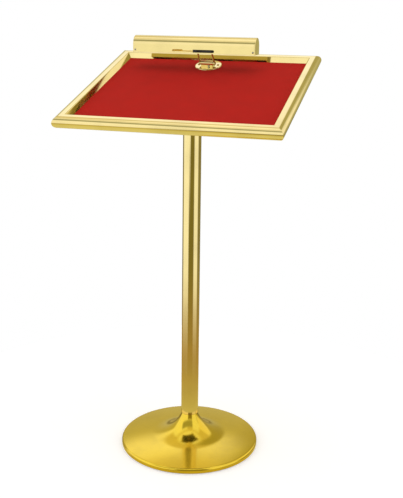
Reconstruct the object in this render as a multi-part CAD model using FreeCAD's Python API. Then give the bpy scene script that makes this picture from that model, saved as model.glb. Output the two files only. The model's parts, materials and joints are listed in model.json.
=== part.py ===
import FreeCAD, Part
import math
import os
from FreeCAD import Vector

# Bible stand: weighted round foot, brass pole, tilting framed tray lined with cloth, and a
# brass tube lamp over the tray's back edge. Millimetres, +Z up, the reader stands at -Y.
# The origin is the middle of the foot's underside.

# ---- driving dimensions: foot and pole ----
FOOT_RADIUS = 177.8
SHEET = 1.2                 # wall of the spun brass cover
COVER_BOTTOM = 1.5          # the cover's hem clears the floor by this
RIM_ROUND = 5.5             # rounded shoulder between rim and dome
DOME_TOP = 28.0             # height of the dome if it ran on to the axis
DOME_EDGE = 8.5             # height of the middle of the rim's rounded shoulder
FLARE_RADIUS = 92.0         # hollow curve between dome and neck
NECK_RADIUS = 20.5
NECK_TOP = 82.0
PAD_RADIUS = 170.0
PAD_THICK = 3.0
WEIGHT_RADIUS = 168.0
WEIGHT_TOP = 27.0           # boss in the middle of the weight, under the spigot
RECESS_RADIUS = 24.0        # pocket under the weight for the tie rod's nut
RECESS_TOP = 16.0
CORD_GROOVE = 8.0
GLAND_HEIGHT = 7.0
GLAND_BORE = 2.6
GLAND_BARREL = 3.4
GLAND_FLANGE = 4.2
GLAND_BACK = 180.0
COLLAR_RADIUS = 20.9
COLLAR_THICK = 1.4          # ring that shows as a dark line under the pole
POLE_RADIUS = 22.225
POLE_WALL = 2.0
POLE_TOP = 828.0
POLE_FIT = 0.15             # radial clearance of the plugs in the pole's ends
SPIGOT_RADIUS = 18.9
SPIGOT_TOP = 114.0
ROD_RADIUS = 5.0
ROD_BORE = 3.2
ROD_HOLE = 5.6              # hole for the rod in the weight and the spigot
ROD_BOTTOM = 4.0
ROD_TOP = 818.0
ROD_WASHER = 2.0
ROD_NUT_TALL = 7.5
ROD_NUT_FLATS = 17.0

# ---- driving dimensions: tilt head ----
PIVOT_HEIGHT = 866.0
TRAY_TILT = 16.5            # degrees, back edge high
PIVOT_DROP = 62.0           # pivot below the frame's top face
PIVOT_OFFSET = 22.0         # pivot in front of the tray's middle
EYE_RADIUS = 14.0
LUG_HALF = 9.0
CHEEK_IN = 10.0
CHEEK_OUT = 17.0
YOKE_RADIUS = 13.0
YOKE_PLUG = 38.0            # length of the yoke's plug in the pole
YOKE_SHOULDER = 5.0         # ring on the pole's end
YOKE_FLOOR = 12.0           # top of the yoke's floor above the pole's end
BOLT_RADIUS = 4.0
BOLT_REACH = 38.0           # bolt's end, inside the knob
WASHER_HOLE = 4.3
FRICTION_WASHER = 11.0
KNOB_WASHER = 9.0
KNOB_WASHER_THICK = 1.6
FIT = 0.05                  # radial running clearance
LUG_PLATE = 84.0
LUG_PLATE_THICK = 4.0
LUG_SCREW = 2.4
KNOB_RADIUS = 19.0
KNOB_LOBES = 5
KNOB_CUTTER = 9.0           # radius of the hollows between the lobes
KNOB_START = 18.9           # knob's inner face, clear of its washer
KNOB_BOSS = 9.5
KNOB_BOSS_LONG = 8.0
KNOB_LONG = 23.0
INSERT_RADIUS = 6.5
INSERT_LONG = 20.0

# ---- driving dimensions: tray ----
OPEN_WIDTH = 468.0          # cloth seen inside the frame, left to right
OPEN_DEPTH = 400.0          # front to back, along the slope
RAIL_FLAT = 18.2            # moulding from the cloth to the middle of its round edge
RAIL_LEAN = 7.0             # inner wall leans outwards by this up to the flat top
RAIL_CORNER = 1.2           # rounding between the inner wall and the flat top
RAIL_ROUND = 14.1           # half-round outer edge
RAIL_WALL = 1.6
REBATE = 5.0
CLOTH_SUNK = 13.0           # cloth below the frame's top face
CLOTH_THICK = 1.2
BOARD_THICK = 12.0
PANEL_THICK = 1.6
BOARD_MARGIN = 4.6          # board reaches this far under the rebate
KEY_PLACE = 17.0            # corner keys' middle outside the opening's edge
KEY_HALF = 6.0
KEY_LEG = 45.0
KEY_LOW = -19.0
KEY_HIGH = -9.0
CLIP_SCREW_OUT = 12.0       # clip's screw outside the opening's edge
CLIP_SCREW = 1.5
CLIP_THICK = 1.5
CLIP_HALF = 9.0

# ---- driving dimensions: lamp ----
LAMP_X = -9.0               # middle of the round plate and of the two arms
PLATE_BACK = 161.0          # plate centre behind the tray's middle
PLATE_RADIUS = 34.0
PLATE_THICK = 3.0
PLATE_SCREW = 1.5
PLATE_SCREW_REACH = 25.0
STUD_AHEAD = 4.0            # stud in front of the plate's middle
STUD_OUTER = 4.0
STUD_BORE = 2.8
STUD_HOLE = 4.2
STUD_NUT_FLANGE = 1.2
KNUCKLE_HALF = 15.6
PIVOT_BACK = 153.0
PIVOT_BELOW = 2.6           # arm pivot below the frame's top face
PIN_RADIUS = 2.0
SETTING_SCREW = 1.25        # screw that sets the arms' friction
SETTING_SCREW_X = 5.0
SETTING_SCREW_UP = 2.6
EYE_GAP = 0.4               # between the knuckle and the arms' eyes
EYE_LONG = 4.0
ARM_EYE = 4.6
ARM_SPREAD = 18.0           # each arm from the middle
ARM_RADIUS = 2.2
ARM_BEND = 4.0
ARM_ELBOW = -12.0           # elbow in front of the shade's axis
ARM_IN_SHOE = 1.8
SHADE_X = -36.0             # middle of the shade
SHADE_BACK = 150.0
SHADE_ABOVE = 44.6          # shade axis above the frame's top face
SHADE_RADIUS = 21.0
SHADE_WALL = 1.0
SHADE_LENGTH = 317.0
CAP_THICK = 2.5
CAP_RIM = 10.0              # cap's rim inside the shade, from the shade's end
CAP_SCREW_IN = 6.0          # cap's screw from the shade's end
CAP_SCREW = 1.25
CAP_SCREW_HOLE = 1.3
SKIRT = 20.0                # straight sides of the shade, below its half-round top
SLOT_BELOW = 14.0           # slot in the front skirt, below the shade's axis
SLOT_LENGTH = 109.0
SLOT_WIDTH = 7.0
SHOE_HALF = 28.0
SHOE_THICK = 3.0
SHOE_TALL = 11.0
SHOE_GAP = 0.4
STUD_RADIUS = 3.0           # studs of the shoe, which run in the slot
LINER_SKIRT = 6.0
LINER_SHORT = 12.0          # liner ends this far from the shade's ends
LINER_GAP = 0.15
LINER_THICK = 0.6
HOLDER_RADIUS = 11.5
HOLDER_BORE = 7.1
HOLDER_FLANGE = 15.5
HOLDER_FLANGE_THICK = 3.0
HOLDER_FLOOR = 8.0
HOLDER_LONG = 36.0
BULB_RADIUS = 12.0
BULB_GLASS = 1.0
BULB_LONG = 68.0            # straight part of the glass
BULB_STEM = 6.4
BULB_STEM_BORE = 5.4
BULB_CAP = 6.9
BULB_CAP_LONG = 22.0
SWITCH_CAN = 6.5
SWITCH_NECK = 5.0
SWITCH_BUTTON = 3.0
SWITCH_NUT = 13.0

# ---- sizes that follow ----
RAIL_WIDTH = RAIL_FLAT + RAIL_ROUND
RAIL_HEIGHT = 2 * RAIL_ROUND
BOARD_TOP = -CLOTH_SUNK - CLOTH_THICK
PANEL_TOP = BOARD_TOP - BOARD_THICK
PANEL_BOTTOM = PANEL_TOP - PANEL_THICK
BOARD_HALF_X = OPEN_WIDTH / 2 + BOARD_MARGIN
BOARD_HALF_Y = OPEN_DEPTH / 2 + BOARD_MARGIN
SHADE_INSIDE = SHADE_RADIUS - SHADE_WALL
SHADE_HALF = SHADE_LENGTH / 2
PLATE_TOP = -CLOTH_SUNK + PLATE_THICK
STUD_BACK = PLATE_BACK - STUD_AHEAD
PLUG_RADIUS = POLE_RADIUS - POLE_WALL - POLE_FIT
CLIP_LOW = -RAIL_HEIGHT - CLIP_THICK
HOLDER_WALL = SHADE_HALF - CAP_THICK
X_AXIS = Vector(1, 0, 0)
Y_AXIS = Vector(0, 1, 0)
Z_AXIS = Vector(0, 0, 1)
ORIGIN = Vector(0, 0, 0)


# ---- small shape helpers ----
def slope(along, above):
    """Vector of a distance up the tray's slope and a height square to it."""
    tilt = math.radians(TRAY_TILT)
    y = along * math.cos(tilt) - above * math.sin(tilt)
    z = along * math.sin(tilt) + above * math.cos(tilt)
    return Vector(0, y, z)


TRAY_CENTRE = Vector(0, 0, PIVOT_HEIGHT) + slope(PIVOT_OFFSET, PIVOT_DROP)
SHADE_CENTRE = TRAY_CENTRE + slope(SHADE_BACK, SHADE_ABOVE) + Vector(SHADE_X, 0, 0)


def rod(radius, start, end):
    """Solid cylinder between two points."""
    return Part.makeCylinder(radius, (end - start).Length, start, end - start)


def tube(outer, inner, start, end):
    """Hollow cylinder between two points."""
    return rod(outer, start, end).cut(rod(inner, start, end))


def block(x_low, x_high, y_low, y_high, z_low, z_high):
    """Box between two corners."""
    size = (x_high - x_low, y_high - y_low, z_high - z_low)
    return Part.makeBox(*size, Vector(x_low, y_low, z_low))


def upright(radius, z_low, z_high, x=0, y=0):
    """Vertical cylinder."""
    return Part.makeCylinder(radius, z_high - z_low, Vector(x, y, z_low), Z_AXIS)


def crossbar(radius, x_low, x_high, y=0, z=0):
    """Cylinder along X."""
    return Part.makeCylinder(radius, x_high - x_low, Vector(x_low, y, z), X_AXIS)


def turned(points):
    """Solid turned about Z from a closed outline of (radius, height) points."""
    corners = [Vector(radius, 0, height) for radius, height in points]
    outline = Part.makePolygon(corners + corners[:1])
    return Part.Face(outline).revolve(ORIGIN, Z_AXIS, 360)


def hexagon(across_flats, start, end):
    """Hexagonal prism between two points."""
    direction = (end - start).normalize()
    radius = across_flats / math.sqrt(3)
    turn = FreeCAD.Rotation(Z_AXIS, direction)
    angles = [math.radians(60 * k) for k in range(6)]
    corners = [Vector(radius * math.cos(a), radius * math.sin(a), 0) for a in angles]
    corners = [start + turn.multVec(corner) for corner in corners]
    return Part.Face(Part.makePolygon(corners + corners[:1])).extrude(end - start)


def pan_head(radius, height, base, direction):
    """Shallow rounded screw head standing on base."""
    head = Part.makeCylinder(radius, height, base, direction)
    top_edges = [edge for edge in head.Edges
                 if edge.Closed and (edge.CenterOfMass - base).dot(direction) > height * 0.9]
    return head.makeFillet(height * 0.6, top_edges)


def joined(shapes):
    """One shape from several that overlap."""
    result = shapes[0]
    for shape in shapes[1:]:
        result = result.fuse(shape)
    return result.removeSplitter()


def group(solids):
    """Separate solids kept in one node."""
    return Part.makeCompound(solids)


def on_tray(shape):
    """Moves a shape from the tray's own frame to its place on the stand."""
    placed = shape.copy()
    placed.rotate(ORIGIN, X_AXIS, TRAY_TILT)
    placed.translate(TRAY_CENTRE)
    return placed


def on_shade(shape):
    """Moves a shape from the shade's own frame to its place on the stand."""
    placed = shape.copy()
    placed.translate(SHADE_CENTRE)
    return placed


def hood_outline(radius, depth):
    """Half round on top of two straight sides, closed, in the YZ plane."""
    lines = [
        Part.makeLine(Vector(0, -radius, -depth), Vector(0, -radius, 0)),
        Part.Arc(Vector(0, -radius, 0), Vector(0, 0, radius), Vector(0, radius, 0)).toShape(),
        Part.makeLine(Vector(0, radius, 0), Vector(0, radius, -depth)),
        Part.makeLine(Vector(0, radius, -depth), Vector(0, -radius, -depth)),
    ]
    return Part.Wire(lines)


def hood_block(radius, depth, x_low, x_high):
    """Solid bar with the hood's outline."""
    solid = Part.Face(hood_outline(radius, depth)).extrude(X_AXIS * (x_high - x_low))
    solid.translate(X_AXIS * x_low)
    return solid


def hood(outer, inner, depth, x_low, x_high):
    """Channel with a half-round top, open below."""
    hollow = hood_block(inner, depth + 5, x_low - 5, x_high + 5)
    return hood_block(outer, depth, x_low, x_high).cut(hollow)


# ---- foot ----
def cover_section(inset):
    """Outline of the foot's cover in the XZ plane, moved inwards by inset."""
    shoulder = Vector(FOOT_RADIUS - RIM_ROUND, 0, DOME_EDGE)
    # The dome is a large circle about a point on the axis that just touches the shoulder.
    drop = DOME_TOP - shoulder.z
    reach = (shoulder.x ** 2 + drop ** 2 - RIM_ROUND ** 2) / (2 * (drop - RIM_ROUND))
    dome = Vector(0, 0, DOME_TOP - reach)
    # The flare is a hollow circle that touches the dome and passes the neck's top edge.
    neck = Vector(NECK_RADIUS, 0, NECK_TOP)
    apart = (neck - dome).Length
    far = reach + FLARE_RADIUS
    along = (far ** 2 - FLARE_RADIUS ** 2 + apart ** 2) / (2 * apart)
    aside = math.sqrt(far ** 2 - along ** 2)
    unit = (neck - dome).normalize()
    flare = dome + unit * along + Vector(unit.z, 0, -unit.x) * aside

    def arc(centre, radius, start, end):
        middle = (start + end) * 0.5 - centre
        return Part.Arc(start, centre + middle.normalize() * radius, end).toShape()

    neck_end = flare + (neck - flare).normalize() * (FLARE_RADIUS + inset)
    flare_end = dome + (flare - dome).normalize() * (reach - inset)
    dome_end = dome + (shoulder - dome).normalize() * (reach - inset)
    rim_end = shoulder + X_AXIS * (RIM_ROUND - inset)
    hem = Vector(rim_end.x, 0, COVER_BOTTOM)
    edges = [
        arc(flare, FLARE_RADIUS + inset, neck_end, flare_end),
        arc(dome, reach - inset, flare_end, dome_end),
        arc(shoulder, RIM_ROUND - inset, dome_end, rim_end),
        Part.makeLine(rim_end, hem),
    ]
    return edges, neck_end, hem


def base_cover():
    outside, outer_neck, outer_hem = cover_section(0)
    inside, inner_neck, inner_hem = cover_section(SHEET)
    closing = [Part.makeLine(outer_neck, inner_neck), Part.makeLine(outer_hem, inner_hem)]
    wire = Part.Wire(Part.__sortEdges__(outside + inside + closing))
    cover = Part.Face(wire).revolve(ORIGIN, Z_AXIS, 360)
    level = upright(NECK_RADIUS + 10, NECK_TOP, NECK_TOP + 10)
    hole = rod(3.5, Vector(0, 150, GLAND_HEIGHT), Vector(0, 200, GLAND_HEIGHT))
    return cover.cut(level).cut(hole)


def base_weight():
    # The stepped top keeps clear of the cover's dome.
    outline = [(ROD_HOLE, PAD_THICK), (WEIGHT_RADIUS, PAD_THICK), (WEIGHT_RADIUS, 8.0),
               (150, 11.5), (110, 18.5), (60, 22.5), (34, 23.5), (34, WEIGHT_TOP),
               (ROD_HOLE, WEIGHT_TOP)]
    weight = turned(outline)
    pocket = upright(RECESS_RADIUS, PAD_THICK, RECESS_TOP)
    groove = block(-CORD_GROOVE / 2, CORD_GROOVE / 2, 0, 180, PAD_THICK, PAD_THICK + CORD_GROOVE)
    return weight.cut(pocket).cut(groove)


def base_pad():
    return upright(PAD_RADIUS, 0, PAD_THICK)


def cord_gland():
    def along(radius, start, end):
        return rod(radius, Vector(0, start, GLAND_HEIGHT), Vector(0, end, GLAND_HEIGHT))

    flange = along(GLAND_FLANGE, FOOT_RADIUS + 0.2, GLAND_BACK)
    barrel = along(GLAND_BARREL, GLAND_BACK - 10, GLAND_BACK - 1)
    bore = along(GLAND_BORE, GLAND_BACK - 20, GLAND_BACK + 10)
    return joined([flange, barrel]).cut(bore)


def neck_spigot():
    collar_top = NECK_TOP + COLLAR_THICK
    outline = [(ROD_HOLE, WEIGHT_TOP), (SPIGOT_RADIUS, WEIGHT_TOP), (SPIGOT_RADIUS, NECK_TOP),
               (COLLAR_RADIUS, NECK_TOP), (COLLAR_RADIUS, collar_top), (PLUG_RADIUS, collar_top),
               (PLUG_RADIUS, SPIGOT_TOP), (ROD_HOLE, SPIGOT_TOP)]
    return turned(outline)


def tie_rod():
    return tube(ROD_RADIUS, ROD_BORE, Vector(0, 0, ROD_BOTTOM), Vector(0, 0, ROD_TOP))


def tie_rod_washer():
    low = Vector(0, 0, RECESS_TOP - ROD_WASHER)
    return tube(13, ROD_RADIUS + 0.4, low, Vector(0, 0, RECESS_TOP))


def tie_rod_nut():
    top = RECESS_TOP - ROD_WASHER
    nut = hexagon(ROD_NUT_FLATS, Vector(0, 0, top - ROD_NUT_TALL), Vector(0, 0, top))
    return nut.cut(upright(ROD_RADIUS, 0, 30))


# ---- pole and tilt head ----
def pole_tube():
    start = Vector(0, 0, NECK_TOP + COLLAR_THICK)
    return tube(POLE_RADIUS, POLE_RADIUS - POLE_WALL, start, Vector(0, 0, POLE_TOP))


def tilt_yoke():
    shank = upright(PLUG_RADIUS, POLE_TOP - YOKE_PLUG, POLE_TOP)
    shoulder = upright(POLE_RADIUS, POLE_TOP, POLE_TOP + YOKE_SHOULDER)
    floor_top = POLE_TOP + YOKE_FLOOR
    floor = block(-CHEEK_OUT, CHEEK_OUT, -YOKE_RADIUS, YOKE_RADIUS, POLE_TOP + YOKE_SHOULDER,
                  floor_top)
    pieces = [shank, shoulder, floor]
    for low, high in ((-CHEEK_OUT, -CHEEK_IN), (CHEEK_IN, CHEEK_OUT)):
        pieces.append(block(low, high, -YOKE_RADIUS, YOKE_RADIUS, floor_top, PIVOT_HEIGHT))
        pieces.append(crossbar(YOKE_RADIUS, low, high, 0, PIVOT_HEIGHT))
    yoke = joined(pieces)
    yoke = yoke.cut(crossbar(BOLT_RADIUS + FIT, -30, 30, 0, PIVOT_HEIGHT))
    thread = upright(ROD_RADIUS, POLE_TOP - YOKE_PLUG - 2, ROD_TOP)
    return yoke.cut(thread).cut(upright(ROD_BORE, ROD_TOP - 8, floor_top + 10))


def tilt_bolt():
    shank = crossbar(BOLT_RADIUS, -CHEEK_OUT, BOLT_REACH, 0, PIVOT_HEIGHT)
    head = pan_head(8.5, 5.0, Vector(-CHEEK_OUT, 0, PIVOT_HEIGHT), Vector(-1, 0, 0))
    return joined([shank, head])


def friction_washers():
    washers = []
    low, high = LUG_HALF + FIT, CHEEK_IN - FIT
    for side in (-1, 1):
        start = Vector(side * low, 0, PIVOT_HEIGHT)
        end = Vector(side * high, 0, PIVOT_HEIGHT)
        washers.append(tube(FRICTION_WASHER, WASHER_HOLE, start, end))
    return group(washers)


def knob_washer():
    start = Vector(CHEEK_OUT, 0, PIVOT_HEIGHT)
    return tube(KNOB_WASHER, WASHER_HOLE, start, start + X_AXIS * KNOB_WASHER_THICK)


def tilt_knob():
    """Hand knob with scalloped edge, moulded round a threaded insert."""
    low, high = KNOB_START, KNOB_START + KNOB_LONG
    boss = crossbar(KNOB_BOSS, low, low + KNOB_BOSS_LONG, 0, PIVOT_HEIGHT)
    head = crossbar(KNOB_RADIUS, low + KNOB_BOSS_LONG, high, 0, PIVOT_HEIGHT)
    for k in range(KNOB_LOBES):
        scallop = crossbar(KNOB_CUTTER, low, high + 7, KNOB_RADIUS + 5, 0)
        scallop.rotate(ORIGIN, X_AXIS, 360 / KNOB_LOBES * k)
        scallop.translate(Vector(0, 0, PIVOT_HEIGHT))
        head = head.cut(scallop)
    knob = joined([boss, head])
    face = [edge for edge in knob.Edges if edge.BoundBox.XMin > high - 0.1]
    knob = knob.makeFillet(2.0, face)
    return knob.cut(crossbar(INSERT_RADIUS, 0, low + INSERT_LONG, 0, PIVOT_HEIGHT))


def knob_insert():
    end = KNOB_START + INSERT_LONG
    insert = crossbar(INSERT_RADIUS, KNOB_START, end, 0, PIVOT_HEIGHT)
    return insert.cut(crossbar(BOLT_RADIUS + FIT, 0, end - 0.5, 0, PIVOT_HEIGHT))


def tilt_lug():
    """Flanged eye under the tray, in the tray's frame."""
    top = PANEL_BOTTOM
    low = top - LUG_PLATE_THICK
    half = LUG_PLATE / 2
    plate = block(-half, half, -PIVOT_OFFSET - half, -PIVOT_OFFSET + half, low, top)
    corners = [edge for edge in plate.Edges
               if edge.BoundBox.XLength < 0.1 and edge.BoundBox.YLength < 0.1]
    plate = plate.makeFillet(8, corners)
    web = block(-LUG_HALF, LUG_HALF, -PIVOT_OFFSET - EYE_RADIUS, -PIVOT_OFFSET + EYE_RADIUS,
                -PIVOT_DROP, low + 1)
    eye = crossbar(EYE_RADIUS, -LUG_HALF, LUG_HALF, -PIVOT_OFFSET, -PIVOT_DROP)
    lug = joined([plate, web, eye])
    lug = lug.cut(crossbar(BOLT_RADIUS + FIT, -20, 20, -PIVOT_OFFSET, -PIVOT_DROP))
    for x, y in lug_screw_places():
        lug = lug.cut(upright(LUG_SCREW + 0.2, low - 5, top + 5, x, y))
    return on_tray(lug)


def lug_screw_places():
    reach = LUG_PLATE / 2 - 12
    return [(x, -PIVOT_OFFSET + y) for x in (-reach, reach) for y in (-reach, reach)]


def lug_screws():
    low = PANEL_BOTTOM - LUG_PLATE_THICK
    screws = []
    for x, y in lug_screw_places():
        shank = upright(LUG_SCREW, low, BOARD_TOP - 3, x, y)
        head = pan_head(4.6, 2.6, Vector(x, y, low), Vector(0, 0, -1))
        screws.append(joined([shank, head]))
    return on_tray(group(screws))


# ---- tray ----
def rail_section():
    """Moulding's section: Y outwards from the cloth, Z up, in the YZ plane."""
    lip = Vector(0, 0, -CLOTH_SUNK)
    corner = Vector(0, RAIL_LEAN, 0)
    down = (lip - corner).normalize()
    wall_end = corner + down * RAIL_CORNER
    flat_start = corner + Y_AXIS * RAIL_CORNER
    # The corner's arc touches the inner wall and the flat top.
    half_angle = down.getAngle(Y_AXIS) / 2
    sink = RAIL_CORNER * math.tan(half_angle) * (1 / math.sin(half_angle) - 1)
    crown = corner + (down + Y_AXIS).normalize() * sink
    round_top = Vector(0, RAIL_FLAT, 0)
    round_low = Vector(0, RAIL_FLAT, -RAIL_HEIGHT)
    rebate_low = Vector(0, REBATE, -RAIL_HEIGHT)
    rebate_top = Vector(0, REBATE, -CLOTH_SUNK)
    lines = [
        Part.makeLine(lip, wall_end),
        Part.Arc(wall_end, crown, flat_start).toShape(),
        Part.makeLine(flat_start, round_top),
        Part.Arc(round_top, Vector(0, RAIL_WIDTH, -RAIL_ROUND), round_low).toShape(),
        Part.makeLine(round_low, rebate_low),
        Part.makeLine(rebate_low, rebate_top),
        Part.makeLine(rebate_top, lip),
    ]
    return Part.Wire(lines)


def rail_hollow():
    """Space inside the moulding, one wall in from the outside."""
    inner = REBATE + RAIL_WALL
    top = -RAIL_WALL
    low = -RAIL_HEIGHT + RAIL_WALL
    # One wall in from the leaning inner wall.
    lean = RAIL_LEAN / CLOTH_SUNK
    shift = RAIL_LEAN + RAIL_WALL * math.hypot(1, lean)
    corners = [Vector(0, inner, low), Vector(0, inner, (inner - shift) / lean),
               Vector(0, shift + top * lean, top), Vector(0, RAIL_FLAT, top)]
    lines = [Part.makeLine(start, end) for start, end in zip(corners, corners[1:])]
    reach = RAIL_ROUND - RAIL_WALL
    end = Vector(0, RAIL_FLAT, low)
    lines.append(Part.Arc(corners[-1], Vector(0, RAIL_FLAT + reach, -RAIL_ROUND), end).toShape())
    lines.append(Part.makeLine(end, corners[0]))
    return Part.Wire(lines)


def rail(half_opening, distance, turn):
    """One mitred length of moulding, its inner wall at a distance from the tray's middle."""
    half = half_opening + RAIL_WIDTH
    solid = Part.Face(rail_section()).extrude(X_AXIS * 2 * half)
    solid = solid.cut(Part.Face(rail_hollow()).extrude(X_AXIS * 2 * half))
    solid.translate(X_AXIS * -half)
    reach = RAIL_WIDTH + 2
    corners = [Vector(-half_opening, 0, -40), Vector(half_opening, 0, -40),
               Vector(half_opening + reach, reach, -40), Vector(-half_opening - reach, reach, -40)]
    wedge = Part.Face(Part.makePolygon(corners + corners[:1])).extrude(Z_AXIS * 50)
    solid = solid.common(wedge)
    solid.translate(Y_AXIS * distance)
    solid.rotate(ORIGIN, Z_AXIS, turn)
    for x, y, outward in clip_places():
        place = Vector(x, y, 0) + outward * CLIP_SCREW_OUT
        hole = upright(CLIP_SCREW + FIT, -RAIL_HEIGHT - 2, -RAIL_HEIGHT + 4, place.x, place.y)
        solid = solid.cut(hole)
    return on_tray(solid)


def rail_back():
    return rail(OPEN_WIDTH / 2, OPEN_DEPTH / 2, 0)


def rail_front():
    return rail(OPEN_WIDTH / 2, OPEN_DEPTH / 2, 180)


def rail_left():
    return rail(OPEN_DEPTH / 2, OPEN_WIDTH / 2, 90)


def rail_right():
    return rail(OPEN_DEPTH / 2, OPEN_WIDTH / 2, -90)


def corner_keys():
    """Angle pieces inside the mitred corners."""
    keys = []
    for side in (-1, 1):
        for end in (-1, 1):
            x = side * (OPEN_WIDTH / 2 + KEY_PLACE)
            y = end * (OPEN_DEPTH / 2 + KEY_PLACE)
            across = sorted((x + side * KEY_HALF, x - side * KEY_LEG))
            down = sorted((y + end * KEY_HALF, y - end * KEY_LEG))
            leg_x = block(*across, y - KEY_HALF, y + KEY_HALF, KEY_LOW, KEY_HIGH)
            leg_y = block(x - KEY_HALF, x + KEY_HALF, *down, KEY_LOW, KEY_HIGH)
            keys.append(joined([leg_x, leg_y]))
    return on_tray(group(keys))


def clip_places():
    """Where the clips sit: a point on the opening's edge and its outward direction."""
    places = []
    for side in (-1, 1):
        for share in (-0.35, 0.35):
            places.append((OPEN_WIDTH * share, side * OPEN_DEPTH / 2, Y_AXIS * side))
            places.append((side * OPEN_WIDTH / 2, OPEN_DEPTH * share, X_AXIS * side))
    return places


def board_clips():
    clips = []
    for x, y, outward in clip_places():
        flat = block(-CLIP_HALF, CLIP_HALF, -10, 17, CLIP_LOW, -RAIL_HEIGHT)
        flat = flat.cut(upright(CLIP_SCREW + 0.2, -40, 0, 0, CLIP_SCREW_OUT))
        flat.rotate(ORIGIN, Z_AXIS, math.degrees(math.atan2(outward.y, outward.x)) - 90)
        flat.translate(Vector(x, y, 0))
        clips.append(flat)
    return on_tray(group(clips))


def clip_screws():
    screws = []
    for x, y, outward in clip_places():
        place = Vector(x, y, CLIP_LOW) + outward * CLIP_SCREW_OUT
        shank = upright(CLIP_SCREW, CLIP_LOW, -RAIL_HEIGHT + 6, place.x, place.y)
        screws.append(joined([shank, pan_head(3.0, 1.8, place, Vector(0, 0, -1))]))
    return on_tray(group(screws))


def lined_sheet(low, high):
    """Flat sheet that fills the frame's rebate, drilled for the lamp's stud and the lug's screws."""
    sheet = block(-BOARD_HALF_X, BOARD_HALF_X, -BOARD_HALF_Y, BOARD_HALF_Y, low, high)
    return sheet.cut(upright(STUD_HOLE, low - 1, high + 1, LAMP_X, STUD_BACK))


def red_cloth():
    cloth = lined_sheet(BOARD_TOP, -CLOTH_SUNK)
    for x, y in plate_screw_places():
        cloth = cloth.cut(upright(PLATE_SCREW + 0.2, BOARD_TOP - 1, -CLOTH_SUNK + 1, x, y))
    return on_tray(cloth)


def tray_board():
    board = lined_sheet(PANEL_TOP, BOARD_TOP)
    for x, y in lug_screw_places():
        board = board.cut(upright(LUG_SCREW + FIT, PANEL_TOP - 1, BOARD_TOP - 2.5, x, y))
    for x, y in plate_screw_places():
        board = board.cut(upright(PLATE_SCREW + FIT, BOARD_TOP - 9, BOARD_TOP + 1, x, y))
    return on_tray(board)


def bottom_panel():
    panel = lined_sheet(PANEL_BOTTOM, PANEL_TOP)
    for x, y in lug_screw_places():
        panel = panel.cut(upright(LUG_SCREW + 0.2, PANEL_BOTTOM - 1, PANEL_TOP + 1, x, y))
    return on_tray(panel)


# ---- lamp: what is fixed to the tray ----
def plate_screw_places():
    return [(LAMP_X + side * PLATE_SCREW_REACH, PLATE_BACK) for side in (-1, 1)]


def lamp_plate():
    plate = upright(PLATE_RADIUS, -CLOTH_SUNK, PLATE_TOP, LAMP_X, PLATE_BACK)
    rim = [edge for edge in plate.Edges if edge.Closed and edge.CenterOfMass.z > PLATE_TOP - 0.1]
    plate = plate.makeFillet(2.0, rim)
    plate = plate.cut(upright(STUD_HOLE, -20, 0, LAMP_X, STUD_BACK))
    for x, y in plate_screw_places():
        plate = plate.cut(upright(PLATE_SCREW + 0.2, -20, 0, x, y))
    return on_tray(plate)


def plate_screws():
    screws = []
    for x, y in plate_screw_places():
        shank = upright(PLATE_SCREW, BOARD_TOP - 8, PLATE_TOP, x, y)
        screws.append(joined([shank, pan_head(3.2, 2.0, Vector(x, y, PLATE_TOP), Z_AXIS)]))
    return on_tray(group(screws))


def lamp_knuckle():
    """Block that carries the arms' pivot."""
    low, high = LAMP_X - KNUCKLE_HALF, LAMP_X + KNUCKLE_HALF
    base = block(low, high, PIVOT_BACK - 6, PIVOT_BACK + 11, PLATE_TOP, PLATE_TOP + 4)
    ear = block(low, high, PIVOT_BACK - 5, PIVOT_BACK + 5, PLATE_TOP + 3, -PIVOT_BELOW)
    barrel = crossbar(5.0, low, high, PIVOT_BACK, -PIVOT_BELOW)
    knuckle = joined([base, ear, barrel])
    knuckle = knuckle.cut(crossbar(PIN_RADIUS + FIT, low - 5, high + 5, PIVOT_BACK, -PIVOT_BELOW))
    knuckle = knuckle.cut(upright(STUD_OUTER, -20, PLATE_TOP + 2.5, LAMP_X, STUD_BACK))
    start = setting_screw_face() - Y_AXIS * 6
    knuckle = knuckle.cut(rod(SETTING_SCREW + FIT, start, start + Y_AXIS * 16))
    return on_tray(knuckle)


def setting_screw_face():
    return Vector(LAMP_X + SETTING_SCREW_X, PIVOT_BACK - 6, PLATE_TOP + SETTING_SCREW_UP)


def knuckle_screw():
    """Slotted screw in the knuckle's front that sets the arms' friction."""
    face = setting_screw_face()
    shank = rod(SETTING_SCREW, face, face + Y_AXIS * 9)
    head = rod(2.4, face - Y_AXIS * 1.8, face)
    slot = block(face.x - 3, face.x + 3, face.y - 2, face.y - 1, face.z - 0.4, face.z + 0.4)
    return on_tray(joined([shank, head]).cut(slot))


def lamp_stud():
    """Hollow threaded stud that the cable passes through."""
    bottom = Vector(LAMP_X, STUD_BACK, PANEL_BOTTOM - 9)
    top = Vector(LAMP_X, STUD_BACK, PLATE_TOP + 2.5)
    return on_tray(tube(STUD_OUTER, STUD_BORE, bottom, top))


def stud_nut():
    flange_low = PANEL_BOTTOM - STUD_NUT_FLANGE
    bottom = Vector(LAMP_X, STUD_BACK, PANEL_BOTTOM - 6)
    nut = hexagon(13, bottom, Vector(LAMP_X, STUD_BACK, flange_low))
    flange = upright(9, flange_low, PANEL_BOTTOM, LAMP_X, STUD_BACK)
    return on_tray(joined([nut, flange]).cut(upright(STUD_OUTER, -50, 0, LAMP_X, STUD_BACK)))


# ---- lamp: arms, in the shade's frame ----
def arm_pivot():
    return slope(PIVOT_BACK - SHADE_BACK, -PIVOT_BELOW - SHADE_ABOVE)


def shoe_face():
    """Distance of the shoe's two faces from the shade's axis, outer one first."""
    outside = SHADE_INSIDE - SHOE_GAP
    return outside, outside - SHOE_THICK


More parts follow.
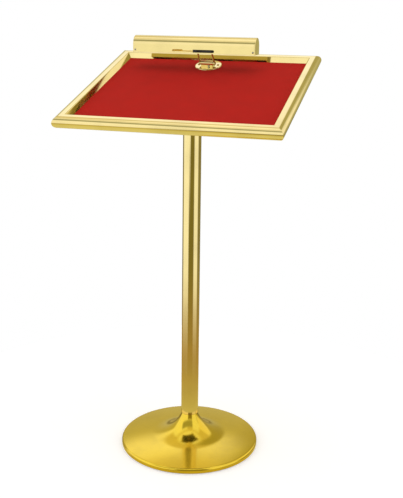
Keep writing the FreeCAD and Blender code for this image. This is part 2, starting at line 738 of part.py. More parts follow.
def arm(side):
    """Round arm: leans forward up into the open shade, then bent level into the shoe."""
    x = LAMP_X - SHADE_X + side * ARM_SPREAD
    foot = arm_pivot() + Vector(x, 0, 0)
    elbow = Vector(x, ARM_ELBOW, -SLOT_BELOW)
    tip = Vector(x, -shoe_face()[1] - ARM_IN_SHOE, -SLOT_BELOW)
    before = (elbow - foot).normalize()
    after = (tip - elbow).normalize()
    turn = math.acos(before.dot(after))
    trim = ARM_BEND * math.tan(turn / 2)
    bend_start = elbow - before * trim
    bend_end = elbow + after * trim
    inwards = (after - before).normalize()
    centre = elbow + inwards * (ARM_BEND / math.cos(turn / 2))
    bend_middle = centre - inwards * ARM_BEND
    path = Part.Wire([
        Part.makeLine(foot, bend_start),
        Part.Arc(bend_start, bend_middle, bend_end).toShape(),
        Part.makeLine(bend_end, tip),
    ])
    profile = Part.Wire(Part.makeCircle(ARM_RADIUS, foot, before))
    stem = path.makePipeShell([profile], True, False)
    inner = KNUCKLE_HALF + EYE_GAP
    low, high = sorted((side * inner, side * (inner + EYE_LONG)))
    middle = LAMP_X - SHADE_X
    eye = crossbar(ARM_EYE, middle + low, middle + high, foot.y, foot.z)
    hole = crossbar(PIN_RADIUS, middle + low - 5, middle + high + 5, foot.y, foot.z)
    return on_shade(joined([stem, eye]).cut(hole))


def arm_left():
    return arm(-1)


def arm_right():
    return arm(1)


def pivot_pin():
    foot = arm_pivot()
    middle = LAMP_X - SHADE_X
    end = KNUCKLE_HALF + EYE_GAP + EYE_LONG
    pin = crossbar(PIN_RADIUS, middle - end, middle + end, foot.y, foot.z)
    right = pan_head(3.6, 1.6, Vector(middle + end, foot.y, foot.z), X_AXIS)
    left = pan_head(3.6, 1.6, Vector(middle - end, foot.y, foot.z), Vector(-1, 0, 0))
    return on_shade(joined([pin, right, left]))


def slide_shoe():
    """Flat shoe inside the front skirt, with two studs in the slot and holes for the arms."""
    outside, inside = shoe_face()
    middle = LAMP_X - SHADE_X
    shoe = block(middle - SHOE_HALF, middle + SHOE_HALF, -outside, -inside,
                 -SLOT_BELOW - SHOE_TALL / 2, -SLOT_BELOW + SHOE_TALL / 2)
    for side in (-1, 1):
        x = middle + side * ARM_SPREAD
        stud = rod(STUD_RADIUS, Vector(x, -outside + 0.5, -SLOT_BELOW),
                   Vector(x, -SHADE_RADIUS - 0.6, -SLOT_BELOW))
        shoe = shoe.fuse(stud)
    shoe = shoe.removeSplitter()
    for side in (-1, 1):
        x = middle + side * ARM_SPREAD
        hole_end = Vector(x, -inside - ARM_IN_SHOE, -SLOT_BELOW)
        shoe = shoe.cut(rod(ARM_RADIUS, hole_end, Vector(x, 0, -SLOT_BELOW)))
    return on_shade(shoe)


# ---- lamp: shade and what it carries, in the shade's frame ----
def shade_tube():
    half = SHADE_HALF - CAP_THICK
    shell = hood(SHADE_RADIUS, SHADE_INSIDE, SKIRT, -half, half)
    straight = (SLOT_LENGTH - SLOT_WIDTH) / 2
    wide = SLOT_WIDTH / 2
    back, front = -SHADE_INSIDE + 3, -SHADE_RADIUS - 3
    slot = block(-straight, straight, front, back, -SLOT_BELOW - wide, -SLOT_BELOW + wide)
    for x in (-straight, straight):
        slot = slot.fuse(rod(wide, Vector(x, front, -SLOT_BELOW), Vector(x, back, -SLOT_BELOW)))
    shell = shell.cut(slot).cut(rod(SWITCH_NECK + 0.1, ORIGIN, Y_AXIS * 30))
    for side in (-1, 1):
        shell = shell.cut(cap_screw_hole(side))
    return on_shade(shell)


def cap_screw_hole(side):
    start = Vector(side * (SHADE_HALF - CAP_SCREW_IN), -10, -SLOT_BELOW)
    return rod(CAP_SCREW_HOLE, start, start - Y_AXIS * 20)


def end_cap(side):
    """Flat end with a short rim inside the shade, drilled for the cap's screw."""
    rim = SHADE_INSIDE - 0.1
    low, high = sorted((side * SHADE_HALF, side * (SHADE_HALF - CAP_THICK)))
    plate = hood_block(SHADE_RADIUS, SKIRT, low, high)
    edges = [edge for edge in plate.Edges if abs(edge.CenterOfMass.x) > SHADE_HALF - 0.1]
    plate = plate.makeFillet(0.8, edges)
    low, high = sorted((side * (SHADE_HALF - CAP_RIM), side * (SHADE_HALF - 2)))
    cap = joined([plate, hood(rim, rim - 2, SKIRT - 0.5, low, high)])
    return on_shade(cap.cut(cap_screw_hole(side)))


def end_cap_left():
    return end_cap(-1)


def end_cap_right():
    return end_cap(1)


def end_cap_screws():
    screws = []
    for side in (-1, 1):
        x = side * (SHADE_HALF - CAP_SCREW_IN)
        inner = Vector(x, -16, -SLOT_BELOW)
        shank = rod(CAP_SCREW, inner, Vector(x, -SHADE_RADIUS - 0.5, -SLOT_BELOW))
        head = pan_head(2.4, 1.5, Vector(x, -SHADE_RADIUS - FIT, -SLOT_BELOW), Vector(0, -1, 0))
        screws.append(joined([shank, head]))
    return on_shade(group(screws))


def reflector():
    half = SHADE_HALF - LINER_SHORT
    outer = SHADE_INSIDE - LINER_GAP
    liner = hood(outer, outer - LINER_THICK, LINER_SKIRT, -half, half)
    return on_shade(liner.cut(rod(SWITCH_CAN + 0.7, ORIGIN, Y_AXIS * 30)))


def from_wall(side, near, far):
    """Two distances in from the end cap's inner face, as a low and a high X."""
    return sorted((side * (HOLDER_WALL - near), side * (HOLDER_WALL - far)))


def lampholder(side):
    """Small screw lampholder, flanged to the end cap, open towards the middle."""
    flange = crossbar(HOLDER_FLANGE, *from_wall(side, 0, HOLDER_FLANGE_THICK))
    barrel = crossbar(HOLDER_RADIUS, *from_wall(side, 0, HOLDER_LONG))
    bore = crossbar(HOLDER_BORE, *from_wall(side, HOLDER_FLOOR, HOLDER_LONG + 4))
    return on_shade(joined([flange, barrel]).cut(bore))


def lampholder_left():
    return lampholder(-1)


def lampholder_right():
    return lampholder(1)


def bulb(side):
    """Tubular bulb's glass with a domed end."""
    start, end = HOLDER_LONG, HOLDER_LONG + BULB_LONG
    dome = Vector(side * (HOLDER_WALL - end), 0, 0)
    inner = BULB_RADIUS - BULB_GLASS
    glass = joined([crossbar(BULB_RADIUS, *from_wall(side, start, end)),
                    Part.makeSphere(BULB_RADIUS, dome)])
    hollow = crossbar(inner, *from_wall(side, start + BULB_GLASS, end))
    hollow = hollow.fuse(Part.makeSphere(inner, dome))
    stem_low, stem_high = from_wall(side, start - 3, start + 2)
    stem = crossbar(BULB_STEM, stem_low, stem_high)
    bore = crossbar(BULB_STEM_BORE, stem_low, stem_high)
    return on_shade(joined([glass.cut(hollow), stem]).cut(bore))


def bulb_left():
    return bulb(-1)


def bulb_right():
    return bulb(1)


def bulb_cap(side):
    """Threaded brass cap of the bulb."""
    end = HOLDER_LONG - 3
    return on_shade(crossbar(BULB_CAP, *from_wall(side, end - BULB_CAP_LONG, end)))


def bulb_cap_left():
    return bulb_cap(-1)


def bulb_cap_right():
    return bulb_cap(1)


def switch_body():
    """Push switch behind the shade's back wall."""
    can = rod(SWITCH_CAN, Y_AXIS * 2, Y_AXIS * (SHADE_INSIDE - 0.9))
    neck = rod(SWITCH_NECK, Y_AXIS * 10, Y_AXIS * (SHADE_RADIUS + 3))
    bore = rod(SWITCH_BUTTON + FIT, Y_AXIS * 11, Y_AXIS * 40)
    return on_shade(joined([can, neck]).cut(bore))


def switch_nut():
    low = SHADE_RADIUS + 0.1
    nut = hexagon(SWITCH_NUT, Y_AXIS * low, Y_AXIS * (low + 2))
    return on_shade(nut.cut(rod(SWITCH_NECK, ORIGIN, Y_AXIS * 40)))


def switch_button():
    stem = rod(SWITCH_BUTTON, Y_AXIS * 15, Y_AXIS * (SHADE_RADIUS + 7))
    tip = [edge for edge in stem.Edges if edge.Closed and edge.CenterOfMass.y > SHADE_RADIUS + 6.9]
    return on_shade(stem.makeFillet(0.8, tip))


SUB_PARTS = [
    base_cover, base_weight, base_pad, cord_gland, neck_spigot, tie_rod, tie_rod_washer,
    tie_rod_nut, pole_tube, tilt_yoke, tilt_bolt, friction_washers, knob_washer, tilt_knob,
    knob_insert, tilt_lug, lug_screws, rail_back, rail_front, rail_left, rail_right,
    corner_keys, board_clips, clip_screws, red_cloth, tray_board, bottom_panel, lamp_plate,
    plate_screws, lamp_knuckle, knuckle_screw, lamp_stud, stud_nut, arm_left, arm_right,
    pivot_pin, slide_shoe, shade_tube, end_cap_left, end_cap_right, end_cap_screws, reflector,
    lampholder_left, lampholder_right, bulb_left, bulb_right, bulb_cap_left, bulb_cap_right,
    switch_body, switch_nut, switch_button,
]

os.makedirs("parts", exist_ok=True)
for make in SUB_PARTS:
    shape = make()
    if not shape.isValid():
        raise ValueError(make.__name__ + " is not a valid shape")
    shape.exportStep(os.path.join("parts", make.__name__ + ".step"))
    print(make.__name__, len(shape.Solids), round(shape.Volume))
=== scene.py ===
import json
import math

import bmesh
import bpy
from bpy.props import FloatProperty, FloatVectorProperty, IntProperty, PointerProperty
from mathutils import Matrix, Vector


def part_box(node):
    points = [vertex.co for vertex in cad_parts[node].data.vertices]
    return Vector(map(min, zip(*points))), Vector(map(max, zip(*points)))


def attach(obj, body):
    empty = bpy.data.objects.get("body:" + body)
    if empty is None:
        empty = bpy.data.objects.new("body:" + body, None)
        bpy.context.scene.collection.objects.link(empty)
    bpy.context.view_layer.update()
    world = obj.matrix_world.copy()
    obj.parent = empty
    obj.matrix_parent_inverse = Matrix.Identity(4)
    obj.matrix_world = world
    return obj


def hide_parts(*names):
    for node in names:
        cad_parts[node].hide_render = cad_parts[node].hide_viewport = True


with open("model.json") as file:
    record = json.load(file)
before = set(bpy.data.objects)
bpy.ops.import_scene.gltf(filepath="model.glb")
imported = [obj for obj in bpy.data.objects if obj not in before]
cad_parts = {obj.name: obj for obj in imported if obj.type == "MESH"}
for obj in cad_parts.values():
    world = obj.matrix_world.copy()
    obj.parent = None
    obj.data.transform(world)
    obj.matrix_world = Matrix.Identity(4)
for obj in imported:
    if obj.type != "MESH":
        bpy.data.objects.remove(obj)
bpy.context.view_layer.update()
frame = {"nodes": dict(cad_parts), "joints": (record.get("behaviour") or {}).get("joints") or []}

bl_info = {
    "name": "Bible Stand",
    "version": (1, 0, 0),
    "blender": (4, 5, 0),
    "location": "3D View > Sidebar > Bible Stand",
    "description": "Builds the finished look of a brass bible stand round its packed model",
    "category": "Add Mesh",
}

MM = 0.001
SIDES = ((-1, "left"), (1, "right"))
# Edges that turn more than this are drawn sharp; where edges are broken, the lower one.
SMOOTH_TO = math.radians(35)
SMOOTH_TO_BROKEN = math.radians(25)
JOINTS = {joint["name"]: joint for joint in frame["joints"]}
TILT_PIVOT = Vector(JOINTS["tray_tilt"]["pos_m"])
ARM_PIVOT = Vector(JOINTS["lamp_swing"]["pos_m"])
TRAY_TURN = math.radians(-JOINTS["tray_tilt"]["range_deg"][0])
ALONG_X = Matrix.Rotation(math.radians(90), 4, "Y")
ALONG_Y = Matrix.Rotation(math.radians(-90), 4, "X")


def linear(code):
    """Linear RGBA of an sRGB hex colour."""
    channels = [int(code[k:k + 2], 16) / 255 for k in (1, 3, 5)]
    bent = [c / 12.92 if c <= 0.04045 else ((c + 0.055) / 1.055) ** 2.4 for c in channels]
    return (*bent, 1.0)


def length(name, description, millimetres):
    """Property that holds a length."""
    return FloatProperty(name=name, description=description, default=millimetres * MM,
                         unit="LENGTH", precision=5)


def colour(name, description, code):
    """Property that holds a colour."""
    return FloatVectorProperty(name=name, description=description, default=linear(code),
                               size=4, subtype="COLOR", min=0, max=1)


# ---- sizes and colours that a user would change ----
class FootSizes(bpy.types.PropertyGroup):
    """Foot, neck and pole."""

    radius: length("Foot radius", "Radius of the foot's rim", 177.8)
    sheet: length("Sheet", "Wall of the spun cover", 1.2)
    hem: length("Hem height", "Gap between the cover's hem and the floor", 1.5)
    rim_round: length("Rim rounding", "Radius between the rim and the dome", 5.5)
    dome_top: length("Dome height", "Height of the dome if it ran on to the axis", 28)
    dome_edge: length("Rim height", "Height of the middle of the rim's rounding", 8.5)
    flare: length("Flare", "Radius of the hollow curve up to the neck", 92)
    neck_radius: length("Neck radius", "Radius at the top of the neck", 20.5)
    neck_top: length("Neck height", "Height of the top of the neck", 82)
    collar_radius: length("Collar radius", "Radius of the thin ring under the pole", 20.9)
    collar: length("Collar", "Thickness of the thin ring under the pole", 1.4)
    pad_radius: length("Pad radius", "Radius of the rubber pad", 170)
    pad: length("Pad", "Thickness of the rubber pad", 3)
    rib_pitch: length("Rib pitch", "Distance between the pad's ribs", 6)
    pole_radius: length("Pole radius", "Radius of the pole", 22.225)
    pole_wall: length("Pole wall", "Wall of the pole", 2)
    pole_top: length("Pole height", "Height of the top of the pole", 828)


class TraySizes(bpy.types.PropertyGroup):
    """Framed tray."""

    width: length("Opening width", "Cloth seen between the side mouldings", 468)
    depth: length("Opening depth", "Cloth seen between the front and back mouldings", 400)
    flat: length("Moulding flat", "Moulding from the cloth to its round edge's middle", 18.2)
    lean: length("Inner lean", "Lean of the moulding's inner wall up to its flat top", 7)
    rounding: length("Moulding round", "Radius of the moulding's outer edge", 14.1)
    corner: length("Inner corner", "Rounding of the moulding's inner top edge", 1.2)
    rebate: length("Rebate", "Width of the lip that holds the cloth", 5)
    mitre_gap: length("Mitre gap", "Half of the gap in a mitred corner", 0.08)
    mitre_edge: length("Mitre edge", "Broken edge along a mitre", 0.35)
    cloth_sunk: length("Cloth depth", "Cloth below the top of the frame", 13)
    cloth: length("Cloth", "Thickness of the cloth", 1.2)
    margin: length("Cloth margin", "Cloth under the lip on each side", 4.6)
    drop: length("Pivot drop", "Tilt pivot below the top of the frame", 62)
    offset: length("Pivot offset", "Tilt pivot in front of the middle of the tray", 22)


class LampSizes(bpy.types.PropertyGroup):
    """Lamp on the tray's back edge."""

    middle: length("Lamp middle", "Sideways place of the plate and the arms", -9)
    plate_back: length("Plate place", "Plate behind the middle of the tray", 161)
    plate_radius: length("Plate radius", "Radius of the round plate", 34)
    plate: length("Plate", "Thickness of the round plate", 3)
    knuckle_half: length("Knuckle", "Half of the knuckle's width", 15.6)
    arm_spread: length("Arm spread", "Each arm from the lamp's middle", 18)
    arm_radius: length("Arm radius", "Radius of the arms", 2.2)
    arm_bend: length("Arm bend", "Bend at the top of the arms", 4)
    shade_x: length("Shade middle", "Sideways place of the shade", -36)
    shade_back: length("Shade place", "Shade behind the middle of the tray", 150)
    shade_above: length("Shade height", "Shade above the top of the frame", 44.6)
    shade_radius: length("Shade radius", "Radius of the shade", 21)
    shade_wall: length("Shade wall", "Wall of the shade", 1)
    shade_half: length("Shade half length", "Half of the shade's length", 158.5)
    cap: length("End cap", "Thickness of an end cap", 2.5)
    slot_length: length("Slot length", "Length of the slot for the shoe's studs", 109)
    slot_width: length("Slot width", "Width of the slot for the shoe's studs", 7)
    slot_below: length("Slot place", "Slot below the shade's axis", 14)
    skirt: length("Skirt", "Straight sides of the shade below its round top", 20)
    knob_lobes: IntProperty(name="Knob lobes", description="Lobes of the clamp knob", default=5)


class StandColours(bpy.types.PropertyGroup):
    """Colours of the finishes."""

    brass: colour("Brass", "Polished brass of the pole, frame and lamp", "#EFDD9C")
    # Deeper golden than the brass above it: the foot's tint is a painted reflection of the warm
    # floor that it mirrors.
    foot_brass_painted_reflection: colour("Foot brass", "Polished brass of the spun foot", "#EBCB38")
    satin_brass: colour("Satin brass", "Machined brass of the small fittings", "#C9A352")
    felt: colour("Felt", "Red felt of the tray", "#B81614")
    iron: colour("Iron", "Primed cast iron of the weight", "#2C2C2E")
    rubber: colour("Rubber", "Rubber of the pad", "#151515")
    plastic: colour("Plastic", "Moulded black plastic", "#0F0F11")
    zinc: colour("Zinc", "Zinc plated steel", "#B4B5B2")
    nylon: colour("Nylon", "Natural nylon", "#E6E2D2")
    wood: colour("Plywood", "Birch plywood", "#C9A877")
    hardboard: colour("Hardboard", "Painted hardboard under the tray", "#1B1917")
    enamel: colour("Enamel", "White stoved enamel in the shade", "#EDECE6")
    phenolic: colour("Phenolic", "Brown-black phenolic moulding", "#1C1512")
    glass: colour("Opal glass", "Opal glass of the bulbs", "#F4F1E6")


def settings():
    """The scene's sizes and colours."""
    scene = bpy.context.scene
    return scene.stand_foot, scene.stand_tray, scene.stand_lamp, scene.stand_colours


def chosen(key):
    """The user's colour for a finish."""
    return tuple(getattr(settings()[3], key))


# ---- places ----
def tray_place():
    """Matrix from the tray's own frame, its origin in the middle of the frame's top."""
    _, tray, _, _ = settings()
    tilt = Matrix.Rotation(TRAY_TURN, 4, "X")
    centre = TILT_PIVOT + tilt @ Vector((0, tray.offset, tray.drop))
    return Matrix.Translation(centre) @ tilt


def shade_place():
    """Matrix from the shade's own frame, its origin in the middle of its round top's axis."""
    _, _, lamp, _ = settings()
    centre = tray_place() @ Vector((0, lamp.shade_back, lamp.shade_above))
    return Matrix.Translation(centre + Vector((lamp.shade_x, 0, 0)))


# ---- mesh helpers ----
def in_mm(points):
    """Points given in millimetres, in metres."""
    return [(a * MM, b * MM) for a, b in points]


def arc(centre, radius, start, end, steps):
    """Points on a circle from one angle to another, in degrees."""
    angles = [math.radians(start + (end - start) * k / steps) for k in range(steps + 1)]
    return [(centre[0] + radius * math.cos(a), centre[1] + radius * math.sin(a)) for a in angles]


def arc_between(centre, start, end, steps):
    """Points on the circle about centre, from start to end the short way."""
    first, last = start - centre, end - centre
    low = math.degrees(math.atan2(first.y, first.x))
    high = math.degrees(math.atan2(last.y, last.x))
    turn = (high - low + 180) % 360 - 180
    return arc(centre, first.length, low, low + turn, steps)


def softened(outline, radius, turned_about_axis=True):
    """Closed outline with its sharp corners rounded. One that is turned keeps those on its axis.

    A point just beyond each rounding keeps the flat next to it flat to look at."""
    result = []
    steps = 3
    longest, beyond = 0.32, 1.4
    straight = math.radians(150)
    for k, point in enumerate(outline):
        corner = Vector(point)
        before = Vector(outline[k - 1]) - corner
        after = Vector(outline[(k + 1) % len(outline)]) - corner
        on_axis = turned_about_axis and corner.x < 1e-7
        if on_axis or before.angle(after) > straight:
            result.append(tuple(corner))
            continue
        reach = min(radius, before.length * longest, after.length * longest)
        start = corner + before.normalized() * reach
        end = corner + after.normalized() * reach
        result.append(tuple(corner + before.normalized() * reach * beyond))
        for i in range(steps + 1):
            t = i / steps
            bent = start * (1 - t) ** 2 + corner * 2 * t * (1 - t) + end * t ** 2
            result.append(tuple(bent))
        result.append(tuple(corner + after.normalized() * reach * beyond))
    return result


def mesh_from(bm, name, place=None, smooth_to=SMOOTH_TO):
    """Mesh of a bmesh, its faces outwards, smooth but for edges sharper than an angle."""
    bmesh.ops.remove_doubles(bm, verts=bm.verts, dist=1e-6)
    bmesh.ops.dissolve_degenerate(bm, edges=bm.edges, dist=1e-7)
    bmesh.ops.recalc_face_normals(bm, faces=bm.faces)
    mesh = bpy.data.meshes.new(name)
    bm.to_mesh(mesh)
    bm.free()
    if place is not None:
        mesh.transform(place)
    mesh.shade_smooth()
    mesh.set_sharp_from_angle(angle=smooth_to)
    return mesh


def skin(bm, rings):
    """Joins each ring of vertices to the next with quads."""
    count = len(rings[0])
    for ring, after in zip(rings, rings[1:]):
        for i in range(count):
            j = (i + 1) % count
            bm.faces.new((ring[i], after[i], after[j], ring[j]))


def add_turned(bm, outline, steps=128, place=None, edge=None):
    """Adds a shell turned about Z from a closed outline of (radius, height) points.

    edge gives a radius and an angle, and returns the radius to use there."""
    rings = []
    for k in range(steps):
        angle = math.tau * k / steps
        ring = []
        for radius, height in outline:
            reach = edge(radius, angle) if edge else radius
            point = Vector((reach * math.cos(angle), reach * math.sin(angle), height))
            ring.append(bm.verts.new(place @ point if place else point))
        rings.append(ring)
    skin(bm, rings + rings[:1])


def turned(name, outline, place=None, steps=128):
    """Mesh turned about Z."""
    bm = bmesh.new()
    add_turned(bm, outline, steps)
    return mesh_from(bm, name, place)


def refined(node, name, edge=0.0):
    """Copy of a CAD node's mesh, merged, with its edges broken and its curves smooth."""
    bm = bmesh.new()
    bm.from_mesh(frame["nodes"][node].data)
    bmesh.ops.remove_doubles(bm, verts=bm.verts, dist=2e-6)
    if edge:
        bmesh.ops.dissolve_limit(bm, angle_limit=math.radians(1), verts=bm.verts, edges=bm.edges)
        keen = [e for e in bm.edges if len(e.link_faces) == 2
                and e.calc_face_angle() > SMOOTH_TO]
        bmesh.ops.bevel(bm, geom=keen, offset=edge, segments=2, profile=0.5, affect="EDGES",
                        clamp_overlap=True)
    bmesh.ops.triangulate(bm, faces=[f for f in bm.faces if len(f.verts) > 4])
    return mesh_from(bm, name, None, SMOOTH_TO_BROKEN if edge else SMOOTH_TO)


def lofted(name, rings, place=None):
    """Mesh through rings of (x, y, z) points, with flat ends."""
    bm = bmesh.new()
    rings = [[bm.verts.new(point) for point in ring] for ring in rings]
    skin(bm, rings)
    bm.faces.new(rings[0])
    bm.faces.new(rings[-1][::-1])
    return mesh_from(bm, name, place)


def hood_outline(radius, depth):
    """Half round on two straight sides, from the front's lower end over to the back's.

    A point just below the half round keeps the straight sides flat to look at."""
    near = 0.4 * MM
    return ([(-radius, -depth), (-radius, -near)] + arc((0, 0), radius, 180, 0, 48)
            + [(radius, -near), (radius, -depth)])


def hood(name, outer, inner, depth, low, high, place, lip=0.25 * MM):
    """Channel along X with a half-round top, open below, its lips and ends broken."""
    section = hood_outline(outer, depth) + hood_outline(inner, depth)[::-1]
    section = softened(section, lip, turned_about_axis=False)
    slim = shrunk(section, lip * 0.6)
    # The second pair keeps the ends' slant out of the shading of the long faces.
    rings = [[(x, y, z) for y, z in points] for x, points in (
        (low, slim), (low + lip, section), (low + 2 * lip, section),
        (high - 2 * lip, section), (high - lip, section), (high, slim))]
    return lofted(name, rings, place)


def add_piece(name, mesh, body, finish=None, replaced=()):
    """Puts a finished mesh in the scene as a piece that rides on a body."""
    if finish is not None:
        mesh.materials.clear()
        mesh.materials.append(finish)
    piece = bpy.data.objects.new(name, mesh)
    bpy.context.scene.collection.objects.link(piece)
    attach(piece, body)
    if replaced:
        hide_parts(*replaced)
    return piece


def add_copies(*copies):
    """Adds refined copies of CAD nodes: node, piece, body, slot (not used), finish, broken edge
    in mm.
    """
    for node, name, body, slot, finish, edge in copies:
        add_piece(name, refined(node, name, edge * MM), body, finish, [node])


def keep_node(node, finish):
    """Gives its finish to a CAD node that stays."""
    mesh = frame["nodes"][node].data
    mesh.materials.clear()
    mesh.materials.append(finish)


# ---- node helpers ----
def add(tree, kind, inputs=None, **settings_of_node):
    """Adds a node, with its settings and its inputs: a socket is linked, a value is set."""
    node = tree.nodes.new(kind)
    for key, value in settings_of_node.items():
        setattr(node, key, value)
    for key, value in (inputs or {}).items():
        if isinstance(value, bpy.types.NodeSocket):
            tree.links.new(value, node.inputs[key])
        else:
            node.inputs[key].default_value = value
    return node


def new_material(name):
    """Empty material with a principled shader, and its tree."""
    material = bpy.data.materials.get(name) or bpy.data.materials.new(name)
    material.use_nodes = True
    tree = material.node_tree
    tree.nodes.clear()
    shader = add(tree, "ShaderNodeBsdfPrincipled")
    add(tree, "ShaderNodeOutputMaterial", {"Surface": shader.outputs["BSDF"]})
    return material, tree, shader


def finish_surface(tree, shader, low, high, rough, height, depth):
    """Links a colour pair and a roughness pair by one pattern, and a bump by another."""
    pattern, relief = height
    mixed = add(tree, "ShaderNodeMix", {"Factor": pattern, "A": low, "B": high}, data_type="RGBA")
    spread = add(tree, "ShaderNodeMapRange", {"Value": pattern, "To Min": rough[0],
                                              "To Max": rough[1]})
    bump = add(tree, "ShaderNodeBump", {"Height": relief, "Distance": depth, "Strength": 1.0})
    tree.links.new(mixed.outputs["Result"], shader.inputs["Base Color"])
    tree.links.new(spread.outputs["Result"], shader.inputs["Roughness"])
    tree.links.new(bump.outputs["Normal"], shader.inputs["Normal"])


def shaded(tint, share):
    """Colour times a share: darker below 1, lighter above."""
    return (tint[0] * share, tint[1] * share, tint[2] * share, 1.0)


# ---- materials ----
def polished_brass(name, stretch):
    """Yellow brass, buffed on a mop and lacquered: mirror gloss with faint buffing lines, a
    cloudy haze where the lacquer has dulled, and a deeper tone in those clouds."""
    tint = chosen("brass")
    material, tree, shader = new_material(name)
    shader.inputs["Metallic"].default_value = 1.0
    shader.inputs["Coat Weight"].default_value = 0.6
    shader.inputs["Coat Roughness"].default_value = 0.06
    place = add(tree, "ShaderNodeTexCoord").outputs["Object"]
    # Clouds of haze about 60 mm across.
    haze = add(tree, "ShaderNodeTexNoise", {"Vector": place, "Scale": 16, "Detail": 3})
    haze = add(tree, "ShaderNodeMapRange", {"Value": haze.outputs["Fac"], "From Min": 0.35,
                                            "From Max": 0.7})
    # Buffing lines, drawn 1.5 mm apart because the real ones are too fine to see.
    lined = add(tree, "ShaderNodeMapping", {"Vector": place, "Scale": stretch})
    lines = add(tree, "ShaderNodeTexNoise", {"Vector": lined.outputs["Vector"], "Scale": 650,
                                             "Detail": 2})
    pattern = haze.outputs["Result"]
    finish_surface(tree, shader, tint, shaded(tint, 0.9), (0.05, 0.12),
                   (pattern, lines.outputs["Fac"]), 2e-6)
    return material


def spun_brass():
    """Yellow brass spun on a lathe, buffed and lacquered: mirror gloss, with faint rings
    round the axis from the spinning tool and a slow waviness in the sheet."""
    # Its tint is deeper golden than the other brass: a painted reflection of the warm floor below
    # the foot.
    tint = chosen("foot_brass_painted_reflection")
    material, tree, shader = new_material("Spun yellow brass, lacquered")
    shader.inputs["Metallic"].default_value = 1.0
    shader.inputs["Coat Weight"].default_value = 0.5
    shader.inputs["Coat Roughness"].default_value = 0.08
    place = add(tree, "ShaderNodeTexCoord").outputs["Object"]
    parts = add(tree, "ShaderNodeSeparateXYZ", {"Vector": place})
    level = add(tree, "ShaderNodeCombineXYZ", {"X": parts.outputs["X"], "Y": parts.outputs["Y"]})
    reach = add(tree, "ShaderNodeVectorMath", {0: level.outputs["Vector"]}, operation="LENGTH")
    # Spinning rings 2.5 mm apart, uneven in depth.
    rings = add(tree, "ShaderNodeCombineXYZ", {"X": reach.outputs["Value"],
                                               "Z": parts.outputs["Z"]})
    rings = add(tree, "ShaderNodeTexNoise", {"Vector": rings.outputs["Vector"], "Scale": 400,
                                             "Detail": 1})
    haze = add(tree, "ShaderNodeTexNoise", {"Vector": place, "Scale": 12, "Detail": 4})
    haze = add(tree, "ShaderNodeMapRange", {"Value": haze.outputs["Fac"], "From Min": 0.35,
                                            "From Max": 0.7})
    finish_surface(tree, shader, tint, shaded(tint, 0.88), (0.12, 0.2),
                   (haze.outputs["Result"], rings.outputs["Fac"]), 6e-6)
    return material


def satin_brass():
    """Brass turned and milled, left uncoated: a soft shine with tool lines and brown tone."""
    tint = chosen("satin_brass")
    material, tree, shader = new_material("Machined brass, satin")
    shader.inputs["Metallic"].default_value = 1.0
    place = add(tree, "ShaderNodeTexCoord").outputs["Object"]
    stain = add(tree, "ShaderNodeTexNoise", {"Vector": place, "Scale": 90, "Detail": 4})
    lined = add(tree, "ShaderNodeMapping", {"Vector": place, "Scale": (0.15, 1, 1)})
    lines = add(tree, "ShaderNodeTexNoise", {"Vector": lined.outputs["Vector"], "Scale": 1600})
    finish_surface(tree, shader, tint, shaded(tint, 0.7), (0.26, 0.4),
                   (stain.outputs["Fac"], lines.outputs["Fac"]), 8e-6)
    return material


def red_felt():
    """Wool felt, pressed and dyed: matt, with short fibres lying every way, a soft bloom at
    low angles and a faint mottle where the pile has been rubbed."""
    tint = chosen("felt")
    material, tree, shader = new_material("Pressed wool felt")
    shader.inputs["Sheen Weight"].default_value = 0.18
    shader.inputs["Sheen Roughness"].default_value = 0.45
    shader.inputs["Sheen Tint"].default_value = linear("#E06A5C")
    shader.inputs["Specular IOR Level"].default_value = 0.15
    place = add(tree, "ShaderNodeTexCoord").outputs["Object"]
    # Rubbed patches about 40 mm across.
    rubbed = add(tree, "ShaderNodeTexNoise", {"Vector": place, "Scale": 22, "Detail": 3})
    # Fibres bent round each other, drawn 1.2 mm apart.
    fibres = add(tree, "ShaderNodeTexNoise", {"Vector": place, "Scale": 900, "Detail": 4,
                                              "Roughness": 0.65, "Distortion": 1.2})
    both = add(tree, "ShaderNodeMix", {"Factor": 0.45, "A": rubbed.outputs["Fac"],
                                       "B": fibres.outputs["Fac"]}, data_type="FLOAT")
    finish_surface(tree, shader, shaded(tint, 0.8), shaded(tint, 1.22), (0.85, 1.0),
                   (both.outputs["Result"], fibres.outputs["Fac"]), 2.5e-4)
    return material


def plain_finish(name, tint, rough, grain, depth, share=0.8, metallic=0.0, coat=0.0):
    """Finish with a mottled colour and a fine relief, both at the grain's size in mm."""
    material, tree, shader = new_material(name)
    shader.inputs["Metallic"].default_value = metallic
    shader.inputs["Coat Weight"].default_value = coat
    place = add(tree, "ShaderNodeTexCoord").outputs["Object"]
    scale = 1 / (grain * MM)
    mottle = add(tree, "ShaderNodeTexNoise", {"Vector": place, "Scale": scale / 6, "Detail": 4})
    relief = add(tree, "ShaderNodeTexNoise", {"Vector": place, "Scale": scale, "Detail": 3})
    finish_surface(tree, shader, tint, shaded(tint, share), rough,
                   (mottle.outputs["Fac"], relief.outputs["Fac"]), depth)
    return material


